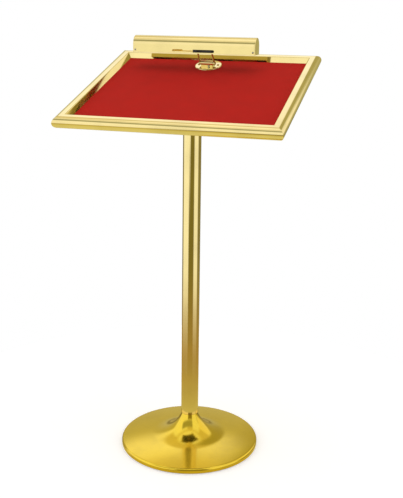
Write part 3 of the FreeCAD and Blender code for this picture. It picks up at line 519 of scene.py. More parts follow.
# For each colour: material, roughness from and to, grain in mm, relief in metres, and the rest.
PLAIN = {
    # Cast in sand and primed: dull, pitted like the sand.
    "iron": ("Cast iron, primed", (0.6, 0.8), 2.0, 2e-4, {}),
    # Moulded in a blasted tool: matt, with a dusty bloom.
    "rubber": ("Moulded rubber", (0.75, 0.95), 0.8, 4e-5, {"share": 1.7}),
    # Moulded with a fine spark texture: satin.
    "plastic": ("Moulded black nylon", (0.38, 0.5), 0.6, 2e-5, {"share": 1.4}),
    # Steel with bright zinc plate: grey metal, cloudy with a fine grain.
    "zinc": ("Zinc-plated steel", (0.25, 0.42), 1.2, 8e-6, {"metallic": 1.0}),
    # Turned from a rod: waxy off-white.
    "nylon": ("Turned nylon", (0.4, 0.55), 0.8, 1e-5, {"share": 0.92}),
    # Hardboard brushed with black paint: eggshell sheen over a fine pressed texture.
    "hardboard": ("Painted hardboard", (0.45, 0.62), 1.6, 6e-5, {"share": 1.35}),
    # Aluminium liner with white stoved enamel: clean, slightly glossy.
    "enamel": ("White stoved enamel", (0.28, 0.36), 3.0, 1e-5, {"share": 0.96, "coat": 0.3}),
    # Phenolic resin pressed in a polished tool: hard brown-black gloss.
    "phenolic": ("Pressed phenolic", (0.2, 0.32), 1.0, 6e-6, {"share": 1.5, "coat": 0.2}),
    # Tubular bulb coated white inside: milky, with a smooth glass skin.
    "glass": ("Opal glass", (0.16, 0.22), 4.0, 4e-6, {"share": 0.97, "coat": 1.0}),
}


def plain(key):
    """One of the plain finishes, in the user's colour."""
    name, rough, grain, depth, rest = PLAIN[key]
    return plain_finish(name, chosen(key), rough, grain, depth, **rest)


def opal_glass():
    """Opal glass that lets some light in under its skin."""
    material = plain("glass")
    shader = material.node_tree.nodes["Principled BSDF"]
    shader.inputs["Subsurface Weight"].default_value = 0.4
    shader.inputs["Subsurface Scale"].default_value = 0.004
    return material


def birch_plywood():
    """Birch plywood, sanded: pale veneer with long grain along the board's width."""
    tint = chosen("wood")
    material, tree, shader = new_material("Birch plywood")
    place = add(tree, "ShaderNodeTexCoord").outputs["Object"]
    # Grain lines 1.5 mm apart that run 25 times as far.
    lined = add(tree, "ShaderNodeMapping", {"Vector": place, "Scale": (0.04, 1, 1)})
    grain = add(tree, "ShaderNodeTexNoise", {"Vector": lined.outputs["Vector"], "Scale": 650,
                                             "Detail": 4, "Distortion": 0.4})
    finish_surface(tree, shader, tint, shaded(tint, 0.72), (0.5, 0.68),
                   (grain.outputs["Fac"], grain.outputs["Fac"]), 4e-5)
    return material


# ---- geometry nodes ----
def node_tree(name, sockets):
    """Geometry tree with a geometry input and output and the named inputs."""
    tree = bpy.data.node_groups.new(name, "GeometryNodeTree")
    tree.interface.new_socket("Geometry", in_out="INPUT", socket_type="NodeSocketGeometry")
    for socket_name, kind in sockets:
        tree.interface.new_socket(socket_name, in_out="INPUT", socket_type=kind)
    tree.interface.new_socket("Geometry", in_out="OUTPUT", socket_type="NodeSocketGeometry")
    return tree, add(tree, "NodeGroupInput").outputs


def end_tree(tree, geometry, finish):
    """Ends a geometry tree in plain geometry with its material."""
    solid = add(tree, "GeometryNodeRealizeInstances", {"Geometry": geometry})
    coated = add(tree, "GeometryNodeSetMaterial", {"Geometry": solid.outputs["Geometry"],
                                                   "Material": finish})
    add(tree, "NodeGroupOutput", {"Geometry": coated.outputs["Geometry"]})
    return tree


def screw_tree():
    """Slotted domed screws on the points of a mesh, all along one axis."""
    tree, given = node_tree("Slotted screws", [
        ("Head radius", "NodeSocketFloat"), ("Head height", "NodeSocketFloat"),
        ("Shank radius", "NodeSocketFloat"), ("Shank length", "NodeSocketFloat"),
        ("Axis", "NodeSocketVector"), ("Seed", "NodeSocketInt"),
        ("Finish", "NodeSocketMaterial")])
    radius, height = given["Head radius"], given["Head height"]
    ball = add(tree, "GeometryNodeMeshUVSphere", {"Segments": 40, "Rings": 20, "Radius": 1.0})
    size = add(tree, "ShaderNodeCombineXYZ", {"X": radius, "Y": radius, "Z": height})
    dome = add(tree, "GeometryNodeTransform", {"Geometry": ball.outputs["Mesh"],
                                               "Scale": size.outputs["Vector"]})
    part = {}
    for key, value, share in (
            ("wide", radius, 3.0), ("narrow", radius, 0.26), ("tall", height, 2.0),
            ("below", height, -1.0), ("above", height, 1.55),
            ("half shank", given["Shank length"], -0.498)):
        product = add(tree, "ShaderNodeMath", {0: value, 1: share}, operation="MULTIPLY")
        part[key] = product.outputs[0]
    # The underside is cut off flat, and a slot is cut 0.45 of the height deep.
    head = add(tree, "GeometryNodeMeshBoolean", {"Mesh 1": dome.outputs["Geometry"]},
               operation="DIFFERENCE", solver="EXACT")
    for across, level in (("wide", "below"), ("narrow", "above")):
        size = add(tree, "ShaderNodeCombineXYZ", {"X": part["wide"], "Y": part[across],
                                                  "Z": part["tall"]})
        block = add(tree, "GeometryNodeMeshCube", {"Size": size.outputs["Vector"]})
        spot = add(tree, "ShaderNodeCombineXYZ", {"Z": part[level]})
        block = add(tree, "GeometryNodeTransform", {
            "Geometry": block.outputs["Mesh"], "Translation": spot.outputs["Vector"]})
        tree.links.new(block.outputs["Geometry"], head.inputs["Mesh 2"])
    shank = add(tree, "GeometryNodeMeshCylinder", {
        "Vertices": 32, "Radius": given["Shank radius"], "Depth": given["Shank length"]})
    spot = add(tree, "ShaderNodeCombineXYZ", {"Z": part["half shank"]})
    shank = add(tree, "GeometryNodeTransform", {
        "Geometry": shank.outputs["Mesh"], "Translation": spot.outputs["Vector"]})
    screw = add(tree, "GeometryNodeJoinGeometry", {"Geometry": head.outputs["Mesh"]})
    tree.links.new(shank.outputs["Geometry"], screw.inputs["Geometry"])
    aligned = add(tree, "FunctionNodeAlignRotationToVector", {"Vector": given["Axis"]}, axis="Z")
    spin = add(tree, "FunctionNodeRandomValue", {"Max": math.pi, "Seed": given["Seed"]},
               data_type="FLOAT")
    spin = add(tree, "FunctionNodeAxisAngleToRotation", {"Axis": (0, 0, 1),
                                                         "Angle": spin.outputs["Value"]})
    turn = add(tree, "FunctionNodeRotateRotation", {
        "Rotation": aligned.outputs["Rotation"], "Rotate By": spin.outputs["Rotation"]},
        rotation_space="LOCAL")
    placed = add(tree, "GeometryNodeInstanceOnPoints", {
        "Points": given["Geometry"], "Instance": screw.outputs["Geometry"],
        "Rotation": turn.outputs["Rotation"]})
    return end_tree(tree, placed.outputs["Instances"], given["Finish"])


def bar_tree():
    """Round bar bent along a path, with its corners rounded."""
    tree, given = node_tree("Bent round bar", [
        ("Radius", "NodeSocketFloat"), ("Bend", "NodeSocketFloat"),
        ("Finish", "NodeSocketMaterial")])
    line = add(tree, "GeometryNodeMeshToCurve", {"Mesh": given["Geometry"]})
    bent = add(tree, "GeometryNodeFilletCurve", {
        "Curve": line.outputs["Curve"], "Count": 12, "Radius": given["Bend"]}, mode="POLY")
    around = add(tree, "GeometryNodeCurvePrimitiveCircle", {"Resolution": 32,
                                                            "Radius": given["Radius"]})
    solid = add(tree, "GeometryNodeCurveToMesh", {
        "Curve": bent.outputs["Curve"], "Profile Curve": around.outputs["Curve"],
        "Fill Caps": True})
    return end_tree(tree, solid.outputs["Mesh"], given["Finish"])


def finished_mesh(holder):
    """Plain mesh of an object with its modifiers applied. The object is removed."""
    bpy.context.view_layer.update()
    evaluated = holder.evaluated_get(bpy.context.evaluated_depsgraph_get())
    mesh = bpy.data.meshes.new_from_object(evaluated)
    holder.modifiers.clear()
    bpy.data.objects.remove(holder)
    mesh.shade_smooth()
    mesh.set_sharp_from_angle(angle=SMOOTH_TO)
    return mesh


def grown(name, tree, points, edges, values):
    """Plain mesh that a geometry tree makes from points and edges."""
    path = bpy.data.meshes.new(name + "_points")
    path.from_pydata([tuple(p) for p in points], edges, [])
    holder = bpy.data.objects.new(name + "_points", path)
    bpy.context.scene.collection.objects.link(holder)
    modifier = holder.modifiers.new("Grow", "NODES")
    modifier.node_group = tree
    sockets = {item.name: item.identifier for item in tree.interface.items_tree
               if item.in_out == "INPUT"}
    for key, value in values.items():
        modifier[sockets[key]] = value
    mesh = finished_mesh(holder)
    bpy.data.meshes.remove(path)
    if not mesh.polygons:
        raise RuntimeError(f"{name}: the geometry tree made nothing")
    mesh.name = name
    return mesh


# ---- foot and pole ----
def cover_outline(foot, inset, steps):
    """Outline of the foot's cover from the neck down to the hem, moved inwards by inset."""
    shoulder = Vector((foot.radius - foot.rim_round, foot.dome_edge))
    drop = foot.dome_top - shoulder.y
    reach = (shoulder.x ** 2 + drop ** 2 - foot.rim_round ** 2) / (2 * (drop - foot.rim_round))
    dome = Vector((0, foot.dome_top - reach))
    neck = Vector((foot.neck_radius, foot.neck_top))
    apart = (neck - dome).length
    far = reach + foot.flare
    along = (far ** 2 - foot.flare ** 2 + apart ** 2) / (2 * apart)
    aside = math.sqrt(far ** 2 - along ** 2)
    unit = (neck - dome).normalized()
    flare = dome + unit * along + Vector((unit.y, -unit.x)) * aside
    neck_end = flare + (neck - flare).normalized() * (foot.flare + inset)
    flare_end = dome + (flare - dome).normalized() * (reach - inset)
    dome_end = dome + (shoulder - dome).normalized() * (reach - inset)
    rim_end = shoulder + Vector((foot.rim_round - inset, 0))
    points = arc_between(flare, neck_end, flare_end, steps)
    points += arc_between(dome, flare_end, dome_end, steps)[1:]
    points += arc_between(shoulder, dome_end, rim_end, steps // 2)[1:]
    points.append((rim_end.x, foot.hem))
    return [(r, min(h, foot.neck_top)) for r, h in points]


class BIBLESTAND_OT_foot(bpy.types.Operator):
    """Spun cover, thin collar, ribbed pad and cord gland of the foot"""

    bl_idname = "biblestand.foot"
    bl_label = "Foot"

    def execute(self, context):
        foot, _, _, _ = settings()
        outside = cover_outline(foot, 0, 36)
        inside = cover_outline(foot, foot.sheet, 14)
        cover = turned("foot_cover", outside + inside[::-1], steps=256)
        add_piece("foot_cover", cover, "stand", spun_brass(), ["base_cover"])

        bore, plug, plug_low, shank_top = 5.6 * MM, 18.9 * MM, 27 * MM, 114 * MM
        clearance = 0.15 * MM
        fit = foot.pole_radius - foot.pole_wall - clearance
        top = foot.neck_top + foot.collar
        outline = [(bore, plug_low), (plug, plug_low), (plug, foot.neck_top),
                   (foot.collar_radius, foot.neck_top), (foot.collar_radius, top), (fit, top),
                   (fit, shank_top), (bore, shank_top)]
        collar = turned("neck_collar", softened(outline, 0.2 * MM))
        add_piece("neck_collar", collar, "stand", satin_brass(),
                  ["neck_spigot"])

        groove, first_groove, plain_edge = 1.0 * MM, 16 * MM, 3 * MM
        low_edge, top_edge = 0.8 * MM, 0.5 * MM
        half = foot.rib_pitch * 0.22
        outline = [(0, 0)]
        reach = first_groove
        while reach + foot.rib_pitch < foot.pad_radius - plain_edge:
            outline += [(reach - half, 0), (reach - half * 0.5, groove),
                        (reach + half * 0.5, groove), (reach + half, 0)]
            reach += foot.rib_pitch
        outline += [(foot.pad_radius - low_edge, 0), (foot.pad_radius, low_edge),
                    (foot.pad_radius, foot.pad - top_edge),
                    (foot.pad_radius - top_edge, foot.pad), (0, foot.pad)]
        pad = turned("ribbed_pad", outline, steps=160)
        add_piece("ribbed_pad", pad, "stand", plain("rubber"), ["base_pad"])

        outline = [(2.6, 170), (3.4, 170), (3.4, 178), (4.2, 178), (4.2, 179.6), (3.8, 180),
                   (3.0, 180), (2.6, 179.4)]
        spot = Matrix.Translation((0, 0, 7 * MM)) @ ALONG_Y
        gland = turned("cord_bush", in_mm(outline), spot, 48)
        add_piece("cord_bush", gland, "stand", plain("plastic"), ["cord_gland"])
        keep_node("base_weight", plain("iron"))
        return {"FINISHED"}


class BIBLESTAND_OT_pole(bpy.types.Operator):
    """Drawn tube of the pole, and the rod that pulls it down"""

    bl_idname = "biblestand.pole"
    bl_label = "Pole"

    def execute(self, context):
        foot, _, _, _ = settings()
        brass = polished_brass("Drawn yellow brass, lacquered", (1, 1, 0.03))
        low, high = foot.neck_top + foot.collar, foot.pole_top
        inner = foot.pole_radius - foot.pole_wall
        outline = [(inner, low), (foot.pole_radius, low), (foot.pole_radius, high), (inner, high)]
        pole = turned("pole", softened(outline, 0.4 * MM), steps=160)
        add_piece("pole", pole, "stand", brass, ["pole_tube"])
        for node in ("tie_rod", "tie_rod_washer", "tie_rod_nut"):
            keep_node(node, plain("zinc"))
        return {"FINISHED"}


# ---- tilt head ----
def lobed(lobes, outer):
    """Radius round a knob with smooth hollows cut in its edge by a 9 mm cutter."""
    cutter, far = 9 * MM, outer + 5 * MM
    blend = 1.2 * MM

    def edge(radius, angle):
        off = (angle * lobes / math.tau % 1 - 0.5) * math.tau / lobes
        inside = cutter ** 2 - (far * math.sin(off)) ** 2
        hollow = far * math.cos(off) - math.sqrt(inside) if inside > 0 else outer + cutter
        share = min(max(0.5 + (hollow - outer) / (2 * blend), 0), 1)
        limit = hollow * (1 - share) + outer * share - blend * share * (1 - share)
        return radius * limit / outer

    return edge


class BIBLESTAND_OT_tilt_head(bpy.types.Operator):
    """Yoke, lug, bolt, washers and clamp knob under the tray"""

    bl_idname = "biblestand.tilt_head"
    bl_label = "Tilt head"

    def execute(self, context):
        _, _, lamp, _ = settings()
        satin, zinc, black = satin_brass(), plain("zinc"), plain("plastic")
        add_copies(
            ("tilt_yoke", "head_yoke", "stand", "satin_brass", satin, 0.6),
            ("tilt_bolt", "head_bolt", "stand", "zinc_steel", zinc, 0.0),
            ("friction_washers", "head_friction_washers", "stand", "nylon", plain("nylon"), 0.0),
            ("knob_washer", "head_knob_washer", "stand", "zinc_steel", zinc, 0.15),
            ("tilt_lug", "head_lug", "tray", "satin_brass", satin, 0.6))

        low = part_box("tilt_knob")[0].x
        outer = 19 * MM
        bm = bmesh.new()
        place = Matrix.Translation((low, 0, TILT_PIVOT.z)) @ ALONG_X
        boss = [(0, 0), (9.5, 0), (9.5, 8.4), (0, 8.4)]
        boss = softened(in_mm(boss), 0.6 * MM)
        add_turned(bm, boss, 96, place)
        head = [(0, 8), (17.6, 8), (19, 9.4), (19, 21)]
        head += arc((17, 21), 2, 0, 90, 6)[1:] + [(8.5, 23), (7.6, 22.2), (0, 22.2)]
        add_turned(bm, in_mm(head), 240, place, lobed(lamp.knob_lobes, outer))
        knob = mesh_from(bm, "clamp_knob_moulding")
        add_piece("clamp_knob_moulding", knob, "clamp_knob", black,
                  ["tilt_knob"])
        keep_node("knob_insert", satin)
        return {"FINISHED"}


# ---- tray ----
def rail_outline(tray):
    """Section of the moulding: (outwards from the cloth, up), clockwise."""
    low = -2 * tray.rounding
    lip = Vector((0, -tray.cloth_sunk))
    corner = Vector((tray.lean, 0))
    down = (lip - corner).normalized()
    half = down.angle(Vector((1, 0))) / 2
    radius = tray.corner * math.tan(half)
    middle = Vector((tray.lean + tray.corner, -radius))
    near = 0.5 * MM
    points = [tuple(lip), tuple(corner + down * (tray.corner + near))]
    points += arc_between(middle, corner + down * tray.corner, Vector((middle.x, 0)), 5)
    points += [(middle.x + near, 0), (tray.flat - near, 0)]
    points += arc((tray.flat, -tray.rounding), tray.rounding, 90, -90, 48)
    return points + [(tray.rebate, low), (tray.rebate, -tray.cloth_sunk)]


def shrunk(outline, inset):
    """Clockwise outline moved inwards."""
    result = []
    for k, point in enumerate(outline):
        before = (Vector(point) - Vector(outline[k - 1])).normalized()
        after = (Vector(outline[(k + 1) % len(outline)]) - Vector(point)).normalized()
        inwards = Vector((before.y, -before.x)) + Vector((after.y, -after.x))
        inwards = inwards.normalized() * inset
        result.append((point[0] + inwards.x, point[1] + inwards.y))
    return result


def mitred_rail(name, tray, half_opening, distance, turn):
    """Moulding between two mitres with finely broken edges."""
    outline = rail_outline(tray)
    inner = shrunk(outline, tray.mitre_edge)
    gap, edge = tray.mitre_gap, tray.mitre_edge
    rings = []
    # The second pair keeps the mitres' slant out of the shading of the long faces.
    for side, points, back in ((-1, inner, gap), (-1, outline, gap + edge),
                               (-1, outline, gap + 2 * edge), (1, outline, gap + 2 * edge),
                               (1, outline, gap + edge), (1, inner, gap)):
        rings.append([(side * (half_opening + y - back), y, z) for y, z in points])
    place = tray_place() @ Matrix.Rotation(math.radians(turn), 4, "Z")
    return lofted(name, rings, place @ Matrix.Translation((0, distance, 0)))


class BIBLESTAND_OT_frame(bpy.types.Operator):
    """Four mitred brass mouldings of the tray"""

    bl_idname = "biblestand.frame"
    bl_label = "Frame mouldings"

    def execute(self, context):
        _, tray, _, _ = settings()
        across = polished_brass("Brass moulding, buffed across", (0.03, 1, 1))
        along = polished_brass("Brass moulding, buffed along", (1, 0.03, 1))
        half_x, half_y = tray.width / 2, tray.depth / 2
        rails = [("back", half_x, half_y, 0, across), ("front", half_x, half_y, 180, across),
                 ("left", half_y, half_x, 90, along), ("right", half_y, half_x, -90, along)]
        for side, half, distance, turn, finish in rails:
            mesh = mitred_rail("moulding_" + side, tray, half, distance, turn)
            add_piece("moulding_" + side, mesh, "tray", finish,
                      ["rail_" + side])
        keep_node("corner_keys", plain("zinc"))
        return {"FINISHED"}


class BIBLESTAND_OT_lining(bpy.types.Operator):
    """Felt, board, underside panel and the clips that hold them"""

    bl_idname = "biblestand.lining"
    bl_label = "Lining"

    def execute(self, context):
        _, tray, _, _ = settings()
        half_x = tray.width / 2 + tray.margin
        half_y = tray.depth / 2 + tray.margin
        top, low = -tray.cloth_sunk, -tray.cloth_sunk - tray.cloth
        columns, rows = 120, 102
        hollow, hollow_width = 0.15 * MM, 30 * MM
        bm = bmesh.new()
        layers = []
        for height in (top, low):
            grid = []
            for j in range(rows + 1):
                y = half_y * (2 * j / rows - 1)
                line = []
                for i in range(columns + 1):
                    x = half_x * (2 * i / columns - 1)
                    # The felt lies a little hollow, in waves about 200 mm long.
                    edge = min(half_x - abs(x), half_y - abs(y)) / hollow_width
                    wave = math.sin(x * 31 + 1) * math.sin(y * 27 + 2) * 0.5 + 0.5
                    dip = hollow * wave * min(edge, 1) if height == top else 0
                    line.append(bm.verts.new((x, y, height - dip)))
                grid.append(line)
            layers.append(grid)
        for grid in layers:
            for j in range(rows):
                for i in range(columns):
                    bm.faces.new((grid[j][i], grid[j][i + 1], grid[j + 1][i + 1],
                                  grid[j + 1][i]))
        rims = [e for e in bm.edges if len(e.link_faces) == 1]
        bmesh.ops.bridge_loops(bm, edges=rims)
        felt = mesh_from(bm, "felt_panel", tray_place())
        felt = add_piece("felt_panel", felt, "tray", red_felt(), ["red_cloth"])
        keep_node("tray_board", birch_plywood())
        add_copies(
            ("bottom_panel", "underside_panel", "tray", "black_hardboard", plain("hardboard"),
             0.3),
            ("board_clips", "underside_clips", "tray", "zinc_steel", plain("zinc"), 0.2))
        return {"FINISHED"}


# ---- fasteners ----
class BIBLESTAND_OT_screws(bpy.types.Operator):
    """Slotted screws of the lug, the clips, the lamp's plate and the end caps"""

    bl_idname = "biblestand.screws"
    bl_label = "Screws"

    def execute(self, context):
        _, tray, lamp, _ = settings()
        tree = screw_tree()
        on_tray = tray_place()
        on_shade = shade_place()
        up = on_tray.to_3x3() @ Vector((0, 0, 1))
        board_and_panel, lug_plate, clip, clip_out = 13.6 * MM, 4 * MM, 1.5 * MM, 12 * MM
        panel_low = -(tray.cloth_sunk + tray.cloth + board_and_panel)
        lug_low = panel_low - lug_plate
        clip_low = -2 * tray.rounding - clip
        reach, plate_reach, cap_inset = 30 * MM, 25 * MM, 6 * MM
        lug = [(x, y - tray.offset, lug_low) for x in (-reach, reach) for y in (-reach, reach)]
        clips = []
        for side in (-1, 1):
            for share in (-0.35, 0.35):
                clips.append((tray.width * share, side * (tray.depth / 2 + clip_out), clip_low))
                clips.append((side * (tray.width / 2 + clip_out), tray.depth * share, clip_low))
        plate_top = -tray.cloth_sunk + lamp.plate
        plate = [(lamp.middle + side * plate_reach, lamp.plate_back, plate_top)
                 for side in (-1, 1)]
        outward = Vector((0, -1, 0))
        caps = [(side * (lamp.shade_half - cap_inset), -lamp.shade_radius, -lamp.slot_below)
                for side in (-1, 1)]
        zinc, satin = plain("zinc"), satin_brass()
        groups = [
            ("lug_screw_set", "lug_screws", "tray", on_tray, lug, -up, (4.6, 2.6, 2.4, 14), zinc,
             "zinc_steel"),
            ("clip_screw_set", "clip_screws", "tray", on_tray, clips, -up, (3.0, 1.8, 1.5, 7),
             zinc, "zinc_steel"),
            ("plate_screw_set", "plate_screws", "tray", on_tray, plate, up, (3.2, 2.0, 1.5, 11),
             satin, "satin_brass"),
            ("cap_screw_set", "end_cap_screws", "shade", on_shade, caps, outward,
             (2.4, 1.5, 1.25, 5), zinc, "zinc_steel"),
        ]
        for seed, (name, node, body, place, spots, axis, size, finish, slot) in enumerate(groups):
            values = {"Head radius": size[0] * MM, "Head height": size[1] * MM,
                      "Shank radius": size[2] * MM, "Shank length": size[3] * MM,
                      "Axis": tuple(axis), "Seed": seed, "Finish": finish}
            mesh = grown(name, tree, [place @ Vector(spot) for spot in spots], [], values)
            add_piece(name, mesh, body, None, [node])
        return {"FINISHED"}


# ---- lamp ----
class BIBLESTAND_OT_lamp_mount(bpy.types.Operator):
    """Round plate, knuckle, arms and the shoe inside the shade"""

    bl_idname = "biblestand.lamp_mount"
    bl_label = "Lamp mount and arms"

    def execute(self, context):
        _, tray, lamp, _ = settings()
        brass = polished_brass("Brass fittings, buffed", (1, 1, 0.2))
        satin, zinc = satin_brass(), plain("zinc")
        outline = [(0, 0), (lamp.plate_radius, 0)]
        fillet = 2 * MM
        outline += arc((lamp.plate_radius - fillet, lamp.plate - fillet), fillet, 0, 90, 8)
        outline.append((0, lamp.plate))
        spot = Matrix.Translation((lamp.middle, lamp.plate_back, -tray.cloth_sunk))
        plate = turned("lamp_foot_plate", outline, tray_place() @ spot, 128)
        add_piece("lamp_foot_plate", plate, "tray", brass, ["lamp_plate"])
        add_copies(
            ("lamp_knuckle", "knuckle_block", "tray", "polished_brass", brass, 0.4),
            ("knuckle_screw", "knuckle_set_screw", "tray", "zinc_steel", zinc, 0.1),
            ("lamp_stud", "stud_tube", "tray", "zinc_steel", zinc, 0.0),
            ("stud_nut", "stud_flange_nut", "tray", "zinc_steel", zinc, 0.2),
            ("pivot_pin", "arm_pivot_pin", "lamp_arms", "satin_brass", satin, 0.0),
            ("slide_shoe", "arm_shoe", "lamp_arms", "black_plastic", plain("plastic"), 0.2))

        arm_x = lamp.middle - lamp.shade_x
        shoe_gap, shoe, elbow_back, sunk = 0.4 * MM, 3 * MM, 12 * MM, 1.8 * MM
        eye_gap, eye_width = 0.4 * MM, 4 * MM
        shoe_face = lamp.shade_radius - lamp.shade_wall - shoe_gap - shoe
        shade = shade_place()
        tree = bar_tree()
        for side, label in SIDES:
            x = arm_x + side * lamp.arm_spread
            low = Vector((ARM_PIVOT.x + side * lamp.arm_spread, ARM_PIVOT.y, ARM_PIVOT.z))
            elbow = shade @ Vector((x, -elbow_back, -lamp.slot_below))
            tip = shade @ Vector((x, -shoe_face - sunk, -lamp.slot_below))
            stem = grown("arm_" + label + "_bar", tree, [low, elbow, tip], [(0, 1), (1, 2)],
                         {"Radius": lamp.arm_radius, "Bend": lamp.arm_bend, "Finish": brass})
            inner = lamp.knuckle_half + eye_gap
            start = ARM_PIVOT.x + (inner if side > 0 else -inner - eye_width)
            eye = softened(in_mm([(2.0, 0), (4.6, 0), (4.6, 4), (2.0, 4)]), 0.5 * MM)
            bm = bmesh.new()
            bm.from_mesh(stem)
            add_turned(bm, eye, 64, Matrix.Translation((start, low.y, low.z)) @ ALONG_X)
            mesh = mesh_from(bm, "arm_bar_" + label)
            add_piece("arm_bar_" + label, mesh, "lamp_arms", brass,
                      ["arm_" + label])
        return {"FINISHED"}


class BIBLESTAND_OT_shade(bpy.types.Operator):
    """Slotted hood of the shade, its end caps, white liner and push switch"""

    bl_idname = "biblestand.shade"
    bl_label = "Shade"

    def execute(self, context):
        _, _, lamp, _ = settings()
        brass = polished_brass("Brass shade tube, lacquered", (0.03, 1, 1))
        place = shade_place()
        inside = lamp.shade_radius - lamp.shade_wall
        half = lamp.shade_half - lamp.cap
        shell = hood("shade_shell", lamp.shade_radius, inside, lamp.skirt, -half, half, place)
        shell = slotted(shell, lamp, place)
        add_piece("shade_shell", shell, "shade", brass, ["shade_tube"])
        reach = lamp.shade_half - 12 * MM
        liner_outer, liner_inner = inside - 0.15 * MM, inside - 0.75 * MM
        liner_skirt, liner_lip = 6 * MM, 0.1 * MM
        liner = hood("white_liner", liner_outer, liner_inner, liner_skirt, -reach, reach,
                     place, liner_lip)
        add_piece("white_liner", liner, "shade", plain("enamel"),
                  ["reflector"])
        rim = inside - 0.1 * MM
        rim_wall, rim_short, rim_reach, overlap = 2 * MM, 0.5 * MM, 10 * MM, 0.1 * MM
        plate = softened(hood_outline(lamp.shade_radius, lamp.skirt), 0.6 * MM,
                         turned_about_axis=False)
        fillet = 0.8 * MM
        for side, label in SIDES:
            rings = []
            for depth, inset in arc((fillet, fillet), fillet, -90, -180, 5):
                points = shrunk(plate, depth) if depth > 0 else plate
                rings.append([(side * (lamp.shade_half - inset), y, z) for y, z in points])
            rings.append([(side * (lamp.shade_half - lamp.cap), y, z) for y, z in plate])
            bm = bmesh.new()
            bm.from_mesh(lofted("cap_plate", rings, place))
            low, high = sorted((side * (lamp.shade_half - rim_reach),
                                side * (lamp.shade_half - lamp.cap + overlap)))
            bm.from_mesh(hood("cap_rim", rim, rim - rim_wall, lamp.skirt - rim_short, low, high,
                              place))
            cap = mesh_from(bm, "cap_" + label)
            add_piece("cap_" + label, cap, "shade", brass,
                      ["end_cap_" + label])
        add_copies(
            ("switch_body", "push_switch_body", "shade", "phenolic", plain("phenolic"), 0.0),
            ("switch_nut", "push_switch_nut", "shade", "satin_brass", satin_brass(), 0.2),
            ("switch_button", "push_switch_button", "button", "black_plastic",
             plain("plastic"), 0.0))
        return {"FINISHED"}


def slotted(mesh, lamp, place):
    """Copy of the shade's shell with the round-ended slot cut through its front skirt."""
    half = (lamp.slot_length - lamp.slot_width) / 2
    end = lamp.slot_width / 2
    outline = arc((half, -lamp.slot_below), end, -90, 90, 16)
    outline += arc((-half, -lamp.slot_below), end, 90, 270, 16)
    deep, through = lamp.shade_radius, 5 * MM
    rings = [[(x, y, z) for x, z in outline] for y in (-deep - through, -deep + through)]
    shell = bpy.data.objects.new("shell_blank", mesh)
    cutter = bpy.data.objects.new("slot_cutter", lofted("slot_cutter", rings, place))
    for item in (shell, cutter):
        bpy.context.scene.collection.objects.link(item)
    cut = shell.modifiers.new("Slot", "BOOLEAN")
    cut.object = cutter
    cut.solver = "EXACT"
    result = finished_mesh(shell)
    bpy.data.objects.remove(cutter)
    return result


def from_end(side, reach):
    """Matrix that puts Z = 0 at one end of the shade, with Z towards its middle."""
    turn = Matrix.Rotation(math.radians(-90 * side), 4, "Y")
    return Matrix.Translation((side * reach, 0, 0)) @ turn


class BIBLESTAND_OT_bulbs(bpy.types.Operator):
    """Lampholders and tubular bulbs in the shade"""

    bl_idname = "biblestand.bulbs"
    bl_label = "Bulbs"

    def execute(self, context):
        _, _, lamp, _ = settings()
        place = shade_place()
        wall = lamp.shade_half - lamp.cap
        holder = [(0, 0), (15.5, 0), (15.5, 3), (11.5, 3)]
        for k in range(5):
            height = 8 + k * 5
            holder += [(11.5, height), (11.0, height + 0.6), (11.0, height + 1.4),
                       (11.5, height + 2)]
        holder += [(11.5, 36), (7.1, 36), (7.1, 8), (0, 8)]
        glass = [(5.4, 33), (6.4, 33), (6.4, 36), (10.5, 36), (11.6, 36.4), (12, 37.6), (12, 104)]
        glass += arc((0, 104), 12, 0, 90, 16)[1:]
        hollow = arc((0, 104), 11, 90, 0, 12) + [(11, 38), (10.5, 37), (5.4, 37)]
        # The outline's arcs run (radius, height), so the dome closes on the axis.
        glass = [(max(r, 0), h) for r, h in glass + hollow]
        cap = [(0, 11), (4, 11), (6.2, 13)]
        for k in range(9):
            height = 14 + 2 * k
            cap += [(6.9, height), (6.9, height + 0.5), (6.3, height + 1), (6.3, height + 1.5)]
        cap += [(6.9, 33), (0, 33)]
        finishes = (plain("phenolic"), opal_glass(), satin_brass())
        for side, label in SIDES:
            spot = place @ from_end(side, wall)
            kinds = [("holder_", holder, "phenolic", "lampholder_"),
                     ("tube_bulb_", glass, "lamp_glass", "bulb_"),
                     ("bulb_thread_", cap, "satin_brass", "bulb_cap_")]
            for (name, outline, slot, node), finish in zip(kinds, finishes):
                mesh = turned(name + label, in_mm(outline), spot, 64)
                add_piece(name + label, mesh, "shade", finish, [node + label])
        return {"FINISHED"}


# ---- studio ----
FLOOR_RADIUS = 0.85
CAMERA_PLACE = (0.6232, -2.0032, 1.1213)
CAMERA_LENS = 63.15
# Degrees: down from level, round from the front towards the right, and round its own line.
CAMERA_PITCH, CAMERA_HEADING, CAMERA_ROLL = 15.81, 16.58, 0.75

